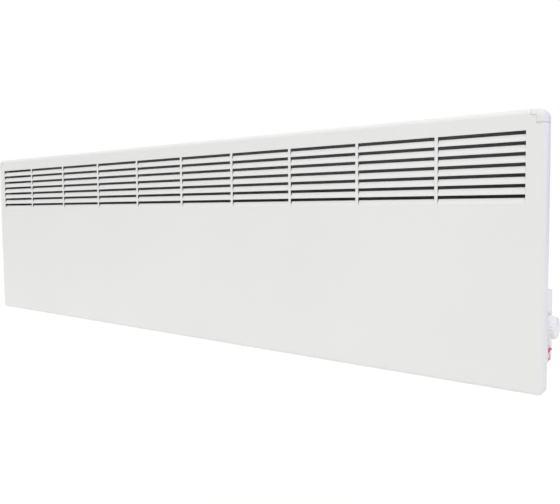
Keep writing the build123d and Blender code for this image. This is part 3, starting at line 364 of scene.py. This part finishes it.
def make_world():
    """White studio surroundings, brighter overhead and a little cooler to the right."""
    world = bpy.data.worlds.new("studio")
    world.use_nodes = True
    tree = world.node_tree
    place = tree.nodes.new("ShaderNodeTexCoord")
    axes = tree.nodes.new("ShaderNodeSeparateXYZ")
    tree.links.new(place.outputs["Generated"], axes.inputs[0])
    across = tree.nodes.new("ShaderNodeValToRGB")
    across.color_ramp.elements[0].position = 0.0
    across.color_ramp.elements[0].color = (*WORLD_LEFT, 1)
    across.color_ramp.elements[1].position = WORLD_RIGHT_STOP
    across.color_ramp.elements[1].color = (*WORLD_RIGHT, 1)
    tree.links.new(axes.outputs["X"], across.inputs["Fac"])
    up = tree.nodes.new("ShaderNodeMapRange")
    up.inputs["From Min"].default_value = 0.0
    up.inputs["From Max"].default_value = 1.0
    up.inputs["To Min"].default_value = WORLD_LEVEL
    up.inputs["To Max"].default_value = WORLD_OVERHEAD
    tree.links.new(axes.outputs["Z"], up.inputs["Value"])
    light = tree.nodes["Background"]
    tree.links.new(across.outputs["Color"], light.inputs["Color"])
    tree.links.new(up.outputs["Result"], light.inputs["Strength"])
    seen = tree.nodes.new("ShaderNodeBackground")
    seen.inputs["Strength"].default_value = 1.0
    seen.inputs["Color"].default_value = (1, 1, 1, 1)
    path = tree.nodes.new("ShaderNodeLightPath")
    mix = tree.nodes.new("ShaderNodeMixShader")
    tree.links.new(path.outputs["Is Camera Ray"], mix.inputs["Fac"])
    tree.links.new(light.outputs[0], mix.inputs[1])
    tree.links.new(seen.outputs[0], mix.inputs[2])
    tree.links.new(mix.outputs[0], tree.nodes["World Output"].inputs["Surface"])
    scene.world = world


CAMERA_PLACE = (0.9119, -0.9571, 0.0659)
CAMERA_HEADING = 37.343
CAMERA_DIP = 3.317
CAMERA_ROLL = -0.487
FOCAL_LENGTH = 40.09
FRAME_SHIFT = -0.0159
SENSOR_WIDTH = 36.0
NEAR_CLIP = 0.01


def make_camera():
    lens = bpy.data.cameras.new("camera")
    lens.lens = FOCAL_LENGTH
    lens.sensor_width = SENSOR_WIDTH
    lens.shift_y = FRAME_SHIFT
    lens.clip_start = NEAR_CLIP
    holder = bpy.data.objects.new("camera", lens)
    turn = Matrix.Rotation(radians(CAMERA_HEADING), 4, "Z")
    tilt = Matrix.Rotation(radians(90 - CAMERA_DIP), 4, "X")
    roll = Matrix.Rotation(radians(CAMERA_ROLL), 4, "Z")
    holder.matrix_world = Matrix.Translation(CAMERA_PLACE) @ turn @ tilt @ roll
    scene.collection.objects.link(holder)
    scene.camera = holder


# ---------------------------------------------------------------- mesh tools

WELD_REACH = 0.000002
FLAT_ANGLE = 1
BEVEL_ANGLE = 32
SHARP_ANGLE = 50
FOLD_EDGE = 0.2
MOULDED_EDGE = 0.25


def new_object(name, mesh):
    piece = bpy.data.objects.new(name, mesh)
    scene.collection.objects.link(piece)
    return piece


def mesh_from(name, points, faces):
    """Object with clean outward faces, from points in millimetres."""
    mesh = bpy.data.meshes.new(name)
    shape = bmesh.new()
    corners = [shape.verts.new(Vector(p) * MM) for p in points]
    for face in faces:
        shape.faces.new([corners[i] for i in face])
    tidy(shape)
    shape.to_mesh(mesh)
    shape.free()
    return new_object(name, mesh)


def tidy(shape):
    """Weld the points that lie together and turn the faces outwards."""
    bmesh.ops.remove_doubles(shape, verts=shape.verts, dist=WELD_REACH)
    bmesh.ops.dissolve_degenerate(shape, edges=shape.edges, dist=WELD_REACH)
    bmesh.ops.recalc_face_normals(shape, faces=shape.faces)


def settle(piece):
    """Work the piece's modifiers into its mesh."""
    graph = bpy.context.evaluated_depsgraph_get()
    mesh = bpy.data.meshes.new_from_object(piece.evaluated_get(graph))
    piece.modifiers.clear()
    piece.data = mesh
    mesh.name = piece.name


def combine(piece, tool, operation):
    """Boolean of the piece with a tool, which is then removed."""
    cut = piece.modifiers.new("cut", "BOOLEAN")
    cut.operation = operation
    cut.solver = "EXACT"
    cut.object = tool
    settle(piece)
    bpy.data.objects.remove(tool)


def soften(piece, width, segments=2):
    """Round the sharp edges by a width in millimetres and keep the flats flat."""
    if width:
        round_off = piece.modifiers.new("edges", "BEVEL")
        round_off.width = width * MM
        round_off.segments = segments
        round_off.limit_method = "ANGLE"
        round_off.angle_limit = radians(BEVEL_ANGLE)
        round_off.use_clamp_overlap = True
        settle(piece)
    piece.data.shade_smooth()
    piece.data.set_sharp_from_angle(angle=radians(SHARP_ANGLE))
    even = piece.modifiers.new("shading", "WEIGHTED_NORMAL")
    even.keep_sharp = True
    settle(piece)


def present(piece, slot, body, *nodes):
    """Finish a piece: its material, the body it rides on and the nodes it stands for."""
    if not piece.data.materials:
        piece.data.materials.append(MATERIALS[slot])
    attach(piece, body)
    if nodes:
        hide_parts(*nodes)


def refine(node, width, additions=()):
    """Copy of a node with its flats cleaned and its edges rounded, shown in its place."""
    source = frame["nodes"][node]
    shape = bmesh.new()
    shape.from_mesh(source.data)
    tidy(shape)
    bmesh.ops.dissolve_limit(
        shape,
        angle_limit=radians(FLAT_ANGLE),
        verts=shape.verts,
        edges=shape.edges,
        delimit=set(),
    )
    mesh = bpy.data.meshes.new(node)
    shape.to_mesh(mesh)
    shape.free()
    piece = new_object(f"{node}_finished", mesh)
    for addition in additions:
        combine(piece, addition, "UNION")
    soften(piece, width)
    present(piece, SLOT_OF[node], source["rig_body"], node)
    return piece


def rings(name, loops, closed=True):
    """Object skinned over loops of points of one length; a single point closes an end."""
    points, starts = [], []
    for loop in loops:
        starts.append(len(points))
        points += loop
    count = max(len(loop) for loop in loops)
    faces = []
    for k in range(len(loops) - 1):
        a, b = starts[k], starts[k + 1]
        for i in range(count):
            j = (i + 1) % count
            if len(loops[k]) == 1:
                faces.append((a, b + i, b + j))
            elif len(loops[k + 1]) == 1:
                faces.append((a + i, b, a + j))
            else:
                faces.append((a + i, b + i, b + j, a + j))
    if closed and len(loops[0]) > 1 and len(loops[-1]) > 1:
        a, b = starts[0], starts[-1]
        for i in range(count):
            j = (i + 1) % count
            faces.append((b + i, a + i, a + j, b + j))
    return mesh_from(name, points, faces)


def arc(centre, radius, start, end, steps):
    """Points on a circle between two angles in degrees."""
    turns = [radians(start + (end - start) * i / steps) for i in range(steps + 1)]
    return [(centre[0] + radius * cos(t), centre[1] + radius * sin(t)) for t in turns]


def polygon(radius, corners):
    """Corners of a regular polygon round the origin, the first one along u."""
    return arc((0, 0), radius, 0, 360 - 360 / corners, corners - 1)


def prism(name, outline, start, end, place):
    """Closed prism: outline points (u, v), put in space by place(u, v, w), w from start to end."""
    count = len(outline)
    points = [place(u, v, w) for w in (start, end) for u, v in outline]
    faces = [tuple(range(count)), tuple(range(count, 2 * count))]
    faces += [(i, (i + 1) % count, count + (i + 1) % count, count + i) for i in range(count)]
    return mesh_from(name, points, faces)


# ---------------------------------------------------------------- front tray

# Depths are measured from the front face, insets from the tray's outer edge.
TRAY_WIDTH = 2 * PANEL_HIGH.x / MM
TRAY_HEIGHT = 2 * PANEL_HIGH.z / MM
TRAY_FRONT = PANEL_LOW.y / MM
TRAY_DEPTH = (PANEL_HIGH.y - PANEL_LOW.y) / MM
SHEET = 1.0
CORNER_R = 13.0
FOOT_R = 9.0
BEND_R = 8.0
REAR_BEND_R = 1.8
LIP = 13.0
BEND_STEPS = 8
REAR_BEND_STEPS = 4
FAN_STEPS = 8
PANEL_EDGE = 0.22
FACING_IN = 0.3

COLUMNS = 10
ROWS = 7
COLUMN_PITCH = 134.0
ROW_PITCH = 14.3
RIB = 5.0
END_TRIM = 4.0
WINDOW_DROP = 28.55
WINDOW_HEIGHT = 13.1
BLADE_HEIGHT = 8.4
BLADE_RECESS = 3.2
BLADE_CURVE = 1.3
BLADE_STEPS = 8
SLIT = 0.2


def louvre_columns():
    """Left and right end of each column of windows."""
    spans = []
    for column in range(COLUMNS):
        middle = (column - (COLUMNS - 1) / 2) * COLUMN_PITCH
        half = (COLUMN_PITCH - RIB) / 2
        left = middle - half + (END_TRIM if column == 0 else 0)
        right = middle + half - (END_TRIM if column == COLUMNS - 1 else 0)
        spans.append((left, right))
    return spans


def louvre_rows():
    """Bottom and top of each row of windows."""
    tops = [TRAY_HEIGHT / 2 - WINDOW_DROP - row * ROW_PITCH for row in range(ROWS)]
    return [(top - WINDOW_HEIGHT, top) for top in tops]


def tray_section(inset, offset):
    """Points (inset, depth) of a tray surface, from its front to its return lip."""
    points = [(CORNER_R, offset)]
    points += arc((BEND_R, BEND_R), BEND_R - offset, 270, 180, BEND_STEPS)
    if offset < REAR_BEND_R:
        centre = (REAR_BEND_R, TRAY_DEPTH - REAR_BEND_R)
        points += arc(centre, REAR_BEND_R - offset, 180, 90, REAR_BEND_STEPS)
    else:
        points.append((offset, TRAY_DEPTH - offset))
    return points + [(inset, TRAY_DEPTH - offset)]


def make_tray(name, outer, inner, columns=(), rows=()):
    """Tray between two offsets of its outer surface, with louvre windows in its face."""
    inner_x = TRAY_WIDTH / 2 - CORNER_R
    inner_z = TRAY_HEIGHT / 2 - CORNER_R
    xs = sorted({-inner_x, inner_x} | {
        x for left, right in columns for x in (left, left + SLIT, right - SLIT, right)
    })
    zs = sorted({-inner_z, inner_z} | {z for row in rows for z in row})
    rim = []
    sides = [
        ([(x, -inner_z) for x in xs], -90, FOOT_R),
        ([(inner_x, z) for z in zs], 0, CORNER_R),
        ([(x, inner_z) for x in reversed(xs)], 90, CORNER_R),
        ([(-inner_x, z) for z in reversed(zs)], 180, FOOT_R),
    ]
    for places, facing, corner_r in sides:
        rim += [(place, facing, CORNER_R) for place in places]
        x, z = places[-1]
        out = CORNER_R - corner_r
        centre = (x + copysign(out, x), z + copysign(out, z))
        fan = [facing + 90 * k / FAN_STEPS for k in range(FAN_STEPS + 1)]
        rim += [(centre, turn, corner_r) for turn in fan]

    def rim_point(base, facing, corner_r, inset, depth):
        """Point on the tray's edge, kept within the tray where its corners are tighter."""
        reach = corner_r - inset
        x = base[0] + reach * cos(radians(facing))
        z = base[1] + reach * sin(radians(facing))
        x = max(inset - TRAY_WIDTH / 2, min(TRAY_WIDTH / 2 - inset, x))
        z = max(inset - TRAY_HEIGHT / 2, min(TRAY_HEIGHT / 2 - inset, z))
        return x, TRAY_FRONT + depth, z

    section = tray_section(LIP, outer) + tray_section(LIP, inner)[::-1]
    points = [rim_point(*place, *step) for step in section for place in rim]
    count = len(rim)
    faces = []
    for k in range(len(section) - 1):
        for i in range(count):
            j = (i + 1) % count
            faces.append((k * count + i, k * count + j, (k + 1) * count + j, (k + 1) * count + i))

    def quad(*corners):
        start = len(points)
        points.extend((x, TRAY_FRONT + y, z) for x, y, z in corners)
        faces.append((start, start + 1, start + 2, start + 3))

    def open_at(x, z):
        return any(a < x < b for a, b in columns) and any(a < z < b for a, b in rows)

    for x0, x1 in zip(xs, xs[1:]):
        for z0, z1 in zip(zs, zs[1:]):
            if open_at((x0 + x1) / 2, (z0 + z1) / 2):
                continue
            for y in (outer, inner):
                quad((x0, y, z0), (x1, y, z0), (x1, y, z1), (x0, y, z1))
    for left, right in columns:
        cuts = (left, left + SLIT, right - SLIT, right)
        for bottom, top in rows:
            for x in (left, right):
                quad((x, outer, bottom), (x, inner, bottom), (x, inner, top), (x, outer, top))
            for x0, x1 in zip(cuts, cuts[1:]):
                quad((x0, outer, top), (x1, outer, top), (x1, inner, top), (x0, inner, top))
            for x0, x1 in (cuts[:2], cuts[2:]):
                sill = [(x0, outer), (x1, outer), (x1, inner), (x0, inner)]
                quad(*[(x, y, bottom) for x, y in sill])
            make_blade(quad, cuts[1], cuts[2], bottom)
    return mesh_from(name, points, faces)


def make_blade(quad, left, right, root):
    """Louvre blade that curves inwards from the lower edge of its window."""
    steps = [k / BLADE_STEPS for k in range(BLADE_STEPS + 1)]
    curve = [(BLADE_RECESS * t**BLADE_CURVE, root + BLADE_HEIGHT * t) for t in steps]
    for (y0, z0), (y1, z1) in zip(curve, curve[1:]):
        for back in (0, SHEET):
            quad(
                (left, y0 + back, z0),
                (right, y0 + back, z0),
                (right, y1 + back, z1),
                (left, y1 + back, z1),
            )
        for x in (left, right):
            quad((x, y0, z0), (x, y0 + SHEET, z0), (x, y1 + SHEET, z1), (x, y1, z1))
    y, z = curve[-1]
    quad((left, y, z), (right, y, z), (right, y + SHEET, z), (left, y + SHEET, z))


# The corner that a moulded cap fills, from the tray's outer edges.
CAP_STRIP_REACH = 21.0
CAP_STRIP_HEIGHT = 8.8
CAP_SIDE_WIDTH = 13.3
CAP_SIDE_HEIGHT = 19.8
CAP_INNER_R = 3.0
CAP_INNER_STEPS = 8
CAP_WALL = 2.0
CAP_EDGE = 0.2
CUT_MARGIN = 2
# Gaps at a cap's strip, its front and its side. A tongue reaches past the seams.
SEAMS = (0.35, 0.15, 0.9)
NO_SEAMS = (0, 0, 0)
TONGUE_SEAMS = (-4.0, -4.0, -4.0)
TONGUE_OUTER = 1.1
TONGUE_INNER = 2.6


def corner_prism(side, strip_gap, front_gap, side_gap):
    """Prism through a top corner, drawn in by a gap at its strip, its front and its side."""
    strip_x = TRAY_WIDTH / 2 - CAP_STRIP_REACH + strip_gap
    strip_z = TRAY_HEIGHT / 2 - CAP_STRIP_HEIGHT + strip_gap
    side_x = TRAY_WIDTH / 2 - CAP_SIDE_WIDTH + front_gap
    side_z = TRAY_HEIGHT / 2 - CAP_SIDE_HEIGHT + side_gap
    far_x = TRAY_WIDTH / 2 + CUT_MARGIN
    far_z = TRAY_HEIGHT / 2 + CUT_MARGIN
    centre = (side_x - CAP_INNER_R, strip_z - CAP_INNER_R)
    outline = [(strip_x, far_z), (strip_x, strip_z)]
    outline += arc(centre, CAP_INNER_R, 90, 0, CAP_INNER_STEPS)
    outline += [(side_x, side_z), (far_x, side_z), (far_x, far_z)]

    def place(u, v, w):
        return side * u, w, v

    start = TRAY_FRONT - CUT_MARGIN
    return prism("corner_tool", outline, start, start + TRAY_DEPTH + 2 * CUT_MARGIN, place)


def mark_inside(piece, inside, material):
    """Give the faces that inside(centre, normal) picks a second material."""
    piece.data.materials.append(MATERIALS[material])
    for face in piece.data.polygons:
        if inside(face.center, face.normal):
            face.material_index = 1


def make_front():
    panel = make_tray("louvred_front", 0, SHEET, louvre_columns(), louvre_rows())
    for side, _ in SIDES:
        combine(panel, corner_prism(side, *NO_SEAMS), "DIFFERENCE")
    soften(panel, PANEL_EDGE)
    panel.data.materials.append(MATERIALS["white_paint"])
    lip = (TRAY_FRONT + TRAY_DEPTH - 1.5 * SHEET) * MM

    def inside(centre, normal):
        return normal.y > FACING_IN and centre.y < lip

    # The tray's inward faces get the dark painted-shade material, so the slots between the blades
    # look dark.
    mark_inside(panel, inside, "painted_inner_shade")
    present(panel, "white_paint", "heater", "front_panel")
    for side, name in SIDES:
        cap = make_tray(f"{name}_cap", 0, CAP_WALL)
        combine(cap, corner_prism(side, *SEAMS), "INTERSECT")
        tongue = make_tray("tongue", TONGUE_OUTER, TONGUE_INNER)
        combine(tongue, corner_prism(side, *TONGUE_SEAMS), "INTERSECT")
        combine(cap, tongue, "UNION")
        soften(cap, CAP_EDGE)
        present(cap, "cap_plastic", "heater", f"corner_cap_{name}")


# ---------------------------------------------------------------- casing

CASING_BACK = CASING_HIGH.y / MM
CASING_FLANGE = 10.0
BEAD_R = 7.0
BEAD_HEIGHT = 1.6
BEAD_SINK = 0.3
BEAD_STEPS = 7
BEAD_END_STEPS = 12
BEAD_ROWS = (120.0, 60.0, 0.0)
BEAD_SPANS = ((-560.0, -325.0), (-235.0, 235.0), (325.0, 560.0))


def make_bead(left, right, level):
    """Long domed bead, pressed outwards in the casing's back to stiffen it."""
    centre = (left + right) / 2
    loops = [[(centre, CASING_BACK - BEAD_SINK, level)]]
    for step in range(BEAD_STEPS):
        part = 1 - step / BEAD_STEPS
        radius = BEAD_R * part
        depth = CASING_BACK - BEAD_SINK + (BEAD_HEIGHT + BEAD_SINK) * cos(pi / 2 * part)
        ends = arc((right - BEAD_R, level), radius, -90, 90, BEAD_END_STEPS)
        ends += arc((left + BEAD_R, level), radius, 90, 270, BEAD_END_STEPS)
        loops.append([(x, depth, z) for x, z in ends])
    loops.append([(centre, depth, level)])
    return rings("bead", loops, closed=False)


def make_casing():
    beads = [make_bead(*span, level) for level in BEAD_ROWS for span in BEAD_SPANS]
    inner_y = (CASING_BACK - SHEET / 2) * MM
    inner_x = (CASING_HIGH.x / MM + SHEET / 2) * MM
    inner_z = (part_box("left_end_plate")[1].z / MM - CASING_FLANGE - SHEET / 2) * MM

    def inside(centre, normal):
        return centre.y < inner_y and abs(centre.z) < inner_z and abs(centre.x) < inner_x

    for node in ("rear_casing", "left_end_plate", "right_end_plate"):
        piece = refine(node, FOLD_EDGE, beads if node == "rear_casing" else ())
        # The inner faces of the casing and end plates get the dark painted-shade material.
        mark_inside(piece, inside, "painted_inner_shade")


# ---------------------------------------------------------------- controls

CONTROL_Y = (KNOB_LOW.y + KNOB_HIGH.y) / 2 / MM
KNOB_Z = (KNOB_LOW.z + KNOB_HIGH.z) / 2 / MM
KNOB_BACK = KNOB_LOW.x / MM
KNOB_LENGTH = (KNOB_HIGH.x - KNOB_LOW.x) / MM
KNOB_R = (KNOB_HIGH.y - KNOB_LOW.y) / 2 / MM
BORE_R = 3.05
BORE_DEPTH = 9.4
HOLLOW_R = 10.0
HOLLOW_DEPTH = 4.4
SKIRT_LENGTH = 4.1
GRIP_START = 4.5
GRIP_LENGTH = 4.9
GRIP_R = 16.7
GRIP_TAPER = 0.9
GRIP_STEPS = 7
SHOULDER_LENGTH = 2.2
SHOULDER_REACH = 3.0
SHOULDER_R = 12.8
DISH = ((0.03, 12.0), (0.15, 9.0), (0.25, 6.0), (0.3, 3.0), (0.32, 0))
FLUTES = 20
POINTS_PER_FLUTE = 10
FLUTE_DEPTH = 0.8
FLUTE_RISE = 0.9
FLUTE_FALL = 1.6
POINTER_INNER_R = 4.0
POINTER_OUTER_R = 13.8
POINTER_WIDTH = 1.6
POINTER_DEPTH = 0.9
POINTER_RECESS = 0.45
POINTER_PLAY = 0.05
POINTER_EDGE = 0.08


def turned(name, place, profile, count, groove, closed=False):
    """Piece turned from (along, radius) points, cut by groove(turn, along)."""
    loops = []
    for along, radius in profile:
        if radius == 0:
            loops.append([place(along, 0, 0)])
            continue
        loop = []
        for k in range(count):
            turn = 2 * pi * k / count
            r = radius - groove(turn, along)
            loop.append(place(along, r * sin(turn), r * cos(turn)))
        loops.append(loop)
    return rings(name, loops, closed)


def on_knob(along, across, up):
    return KNOB_BACK + along, CONTROL_Y + across, KNOB_Z + up


def knob_profile():
    """Back hollow with the shaft's bore, skirt, tapered grip and dished top."""
    shoulder = KNOB_LENGTH - SHOULDER_LENGTH
    bore = [(BORE_DEPTH, 0), (BORE_DEPTH, BORE_R), (HOLLOW_DEPTH, BORE_R)]
    bore += [(HOLLOW_DEPTH, HOLLOW_R - 0.2), (HOLLOW_DEPTH - 0.2, HOLLOW_R)]
    bore += [(0.2, HOLLOW_R), (0, HOLLOW_R + 0.2)]
    skirt = [(0, KNOB_R - 0.3), (0.1, KNOB_R - 0.1), (0.3, KNOB_R), (2.4, KNOB_R)]
    skirt += [(2.9, KNOB_R - 0.1), (3.5, KNOB_R - 0.5), (3.9, KNOB_R - 0.9)]
    skirt += [(SKIRT_LENGTH, GRIP_R + 0.05)]
    parts = [k / GRIP_STEPS for k in range(GRIP_STEPS + 1)]
    grip = [(GRIP_START + GRIP_LENGTH * t, GRIP_R - GRIP_TAPER * t) for t in parts]
    turns = [radians(15 * k) for k in range(1, 7)]
    rounding = [
        (shoulder + SHOULDER_LENGTH * sin(t), SHOULDER_R + SHOULDER_REACH * cos(t)) for t in turns
    ]
    dish = [(KNOB_LENGTH - depth, radius) for depth, radius in DISH]
    return bore + skirt + grip + rounding + dish


def flute(turn, along):
    """Depth of the finger flutes, which fade out at the skirt and at the top."""
    rise = max(0.0, min(1.0, (along - SKIRT_LENGTH) / FLUTE_RISE))
    fall = max(0.0, min(1.0, (KNOB_LENGTH - along) / FLUTE_FALL))
    wave = (0.5 + 0.5 * cos(FLUTES * turn + pi)) ** 2
    return FLUTE_DEPTH * wave * rise * fall


def stadium(inner, outer, width, steps=8):
    """Outline (u, v) of a round-ended bar along v."""
    r = width / 2
    return arc((0, outer - r), r, 0, 180, steps) + arc((0, inner + r), r, 180, 360, steps)


def make_knob():
    knob = turned("knob_cap", on_knob, knob_profile(), FLUTES * POINTS_PER_FLUTE, flute)
    slot = stadium(POINTER_INNER_R, POINTER_OUTER_R, POINTER_WIDTH)
    floor = KNOB_LENGTH - POINTER_DEPTH

    def place(u, v, w):
        return on_knob(w, u, v)

    combine(knob, prism("groove", slot, floor, KNOB_LENGTH + 1, place), "DIFFERENCE")
    soften(knob, 0)
    present(knob, "knob_plastic", "knob", "thermostat_knob")
    line = stadium(
        POINTER_INNER_R + POINTER_PLAY,
        POINTER_OUTER_R - POINTER_PLAY,
        POINTER_WIDTH - 2 * POINTER_PLAY,
    )
    inlay = prism("knob_pointer", line, floor, KNOB_LENGTH - POINTER_RECESS, place)
    soften(inlay, POINTER_EDGE)
    inlay.data.materials.append(MATERIALS["marking"])
    present(inlay, "black_plastic", "knob")


SCALE_STEPS = 7
SCALE_INNER_R = 18.8
SCALE_OUTER_R = 20.8
SCALE_HALF_SWEEP = 60
SCALE_NARROW = 0.6
SCALE_WIDENING = 0.12
BAR_SINK = 0.1
BAR_RISE = 0.15
BAR_EDGE = 0.05
BAR_END_STEPS = 5


def make_scale():
    """Raised bars above the knob that widen from low to high."""
    face = HOUSING_FACE / MM
    shape = []
    for step in range(SCALE_STEPS):
        turn = radians(SCALE_HALF_SWEEP * (2 * step / (SCALE_STEPS - 1) - 1))
        width = SCALE_NARROW + SCALE_WIDENING * step

        def place(u, v, w):
            across = u * cos(turn) + v * sin(turn)
            up = v * cos(turn) - u * sin(turn)
            return w, CONTROL_Y + across, KNOB_Z + up

        outline = stadium(SCALE_INNER_R, SCALE_OUTER_R, width, BAR_END_STEPS)
        shape.append(prism("bar", outline, face - BAR_SINK, face + BAR_RISE, place))
    scale = join("scale_bars", shape)
    soften(scale, BAR_EDGE)
    scale.data.materials.append(MATERIALS["marking"])
    present(scale, "black_plastic", "heater")


def join(name, pieces):
    """One object from several separate solids."""
    shape = bmesh.new()
    for piece in pieces:
        shape.from_mesh(piece.data)
        bpy.data.objects.remove(piece)
    mesh = bpy.data.meshes.new(name)
    shape.to_mesh(mesh)
    shape.free()
    return new_object(name, mesh)


FRAME_LOW, FRAME_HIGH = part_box("switch_frame")
SWITCH_Z = (FRAME_LOW.z + FRAME_HIGH.z) / 2 / MM
ROCKER_R = 8.7
ROCKER_LIFT = 5.4
ROCKER_DIP = 3.7
ROCKER_DISH = 6.4
ROCKER_FLOOR = 3.0
ROCKER_HALF = 5.4
ROCKER_REST = 9.0
ROCKER_EDGE = 0.45
ROCKER_STEPS = 24
SIDE_STEPS = 8
PIN_CORNERS = 24
PIN_R = 1.2
PIN_REACH = 6.2
ROCKER_JOINT = next(j for j in frame["joints"] if j["name"] == "rocker_tilt")
PIVOT_X = ROCKER_JOINT["pos_m"][0] / MM


def on_rocker(out, up, across):
    """Point from the rocker's pivot: outwards and up when level, then turned to rest."""
    turn = radians(ROCKER_REST)
    x = PIVOT_X + out * cos(turn) + up * sin(turn)
    z = SWITCH_Z + up * cos(turn) - out * sin(turn)
    return x, CONTROL_Y + across, z


def rocker_top(up):
    """Height of the rocker's dished face over its pivot."""
    return ROCKER_DIP + (ROCKER_LIFT - ROCKER_DIP) * (up / ROCKER_DISH) ** 2


def make_rocker():
    rim = sqrt(ROCKER_R**2 - ROCKER_LIFT**2)
    ups = [ROCKER_DISH * (2 * k / ROCKER_STEPS - 1) for k in range(ROCKER_STEPS + 1)]
    outline = [(rocker_top(up), up) for up in ups]
    lip_turn = degrees(atan2(rim, ROCKER_LIFT))
    floor_turn = degrees(atan2(sqrt(ROCKER_R**2 - ROCKER_FLOOR**2), -ROCKER_FLOOR))
    outline += arc((0, 0), ROCKER_R, lip_turn, floor_turn, SIDE_STEPS)
    outline += arc((0, 0), ROCKER_R, -floor_turn, -lip_turn, SIDE_STEPS)
    cap = prism("rocker_cap", outline, -ROCKER_HALF, ROCKER_HALF, on_rocker)
    pin = prism("pin", polygon(PIN_R, PIN_CORNERS), -PIN_REACH, PIN_REACH, on_rocker)
    combine(cap, pin, "UNION")
    soften(cap, ROCKER_EDGE, segments=3)
    present(cap, "switch_red", "rocker", "rocker")
    bar = stadium(-MARK_REACH, MARK_REACH, MARK_WIDTH, BAR_END_STEPS)
    sign = join("rocker_marks", [rocker_bar(bar, MARK_PLACE), rocker_ring(-MARK_PLACE)])
    sign.data.shade_smooth()
    sign.data.set_sharp_from_angle(angle=radians(MARK_ANGLE))
    sign.data.materials.append(MATERIALS["white_marking"])
    present(sign, "white_ceramic", "rocker")


MARK_ANGLE = 40
MARK_PLACE = 4.0
MARK_REACH = 1.4
MARK_WIDTH = 0.65
MARK_RISE = 0.06
MARK_SINK = 0.3
RING_INNER_R = 0.85
RING_STEPS = 24


def rocker_bar(outline, middle):
    """Filled mark that follows the rocker's dished face."""

    def place(u, v, w):
        up = middle + v
        return on_rocker(rocker_top(up) + w, up, u)

    return prism("mark", outline, -MARK_SINK, MARK_RISE, place)


def rocker_ring(middle):
    """Ring mark that follows the rocker's dished face."""
    loops = []
    section = [(MARK_REACH, MARK_RISE), (RING_INNER_R, MARK_RISE)]
    section += [(RING_INNER_R, -MARK_SINK), (MARK_REACH, -MARK_SINK)]
    for radius, rise in section:
        loop = []
        for k in range(RING_STEPS):
            turn = 2 * pi * k / RING_STEPS
            up = middle + radius * cos(turn)
            loop.append(on_rocker(rocker_top(up) + rise, up, radius * sin(turn)))
        loops.append(loop)
    return rings("ring", loops)


# ---------------------------------------------------------------- cable gland

GLAND_LOW, GLAND_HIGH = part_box("cable_gland")
GLAND_X = (GLAND_LOW.x + GLAND_HIGH.x) / 2 / MM
GLAND_Y = (GLAND_LOW.y + GLAND_HIGH.y) / 2 / MM
GLAND_SEAT = CASING_LOW.z / MM + CASING_FLANGE
GLAND_TIP = GLAND_LOW.z / MM
GLAND_TOP = GLAND_HIGH.z / MM
GLAND_BORE_R = 3.75
GLAND_NECK_R = 7.7
GLAND_THREAD_R = 7.9
GLAND_THREAD_DEPTH = 0.45
GLAND_THREAD_STEP = 0.5
GLAND_THREAD_LINES = 14
GLAND_CAP_R = 8.2
GLAND_GROOVES = 18
GLAND_GROOVE_DEPTH = 0.5
GLAND_STEPS = 108
GLAND_HEX = 9.95
GLAND_HEX_HEIGHT = 4.0
GLAND_EDGE = 0.15
GLAND_CAP_TOP = GLAND_SEAT - GLAND_HEX_HEIGHT


def gland_profile():
    """Rounded tip, grooved cap, neck through the casing and threaded end."""
    profile = [(GLAND_TIP, GLAND_BORE_R), (GLAND_TIP, 6.4), (GLAND_TIP + 0.2, 7.1)]
    profile += [(GLAND_TIP + 0.7, 7.8), (GLAND_TIP + 1.5, GLAND_CAP_R)]
    profile += [(GLAND_TIP + 1.8, GLAND_CAP_R), (GLAND_CAP_TOP - 0.6, GLAND_CAP_R)]
    profile += [(GLAND_CAP_TOP, GLAND_CAP_R - 0.2)]
    profile += [(GLAND_CAP_TOP + 0.5, GLAND_NECK_R), (GLAND_SEAT, GLAND_NECK_R)]
    for k in range(GLAND_THREAD_LINES):
        radius = GLAND_THREAD_R - GLAND_THREAD_DEPTH * (k % 2)
        profile.append((GLAND_SEAT + 0.6 + GLAND_THREAD_STEP * k, radius))
    profile += [(GLAND_TOP - 0.4, 7.4), (GLAND_TOP, 7.1), (GLAND_TOP, GLAND_BORE_R)]
    return profile


def cap_groove(turn, along):
    """Depth of the grip grooves in the gland's cap."""
    if not GLAND_TIP + 1.5 < along < GLAND_CAP_TOP - 0.2:
        return 0.0
    return GLAND_GROOVE_DEPTH * (0.5 + 0.5 * cos(GLAND_GROOVES * turn)) ** 2


def make_gland():
    def place(along, across, up):
        return GLAND_X + across, GLAND_Y + up, along

    def stand(u, v, w):
        return place(w, u, v)

    gland = turned("gland_body", place, gland_profile(), GLAND_STEPS, cap_groove, closed=True)
    flats = polygon(GLAND_HEX / cos(pi / 6), 6)
    ring = prism("hex", flats, GLAND_CAP_TOP, GLAND_SEAT, stand)
    hole = polygon(GLAND_BORE_R + 1, 24)
    bore = prism("bore", hole, GLAND_CAP_TOP - 1, GLAND_SEAT + 1, stand)
    combine(ring, bore, "DIFFERENCE")
    combine(gland, ring, "UNION")
    soften(gland, GLAND_EDGE)
    present(gland, "black_plastic", "heater", "cable_gland")


# ---------------------------------------------------------------- assembly

make_front()
make_casing()
make_knob()
make_scale()
make_rocker()
make_gland()
for name in ("control_housing", "switch_frame"):
    refine(name, MOULDED_EDGE)
for name in ("wall_rail", "bracket_arm_left", "bracket_arm_right", "latch_left", "latch_right"):
    refine(name, FOLD_EDGE)
for name in ("rear_spacer_left", "rear_spacer_right"):
    refine(name, 0)

# ---------------------------------------------------------------- scene

scene.view_settings.view_transform = "Standard"
make_floor()
make_world()
make_key_light()
make_side_lamp()
make_camera()
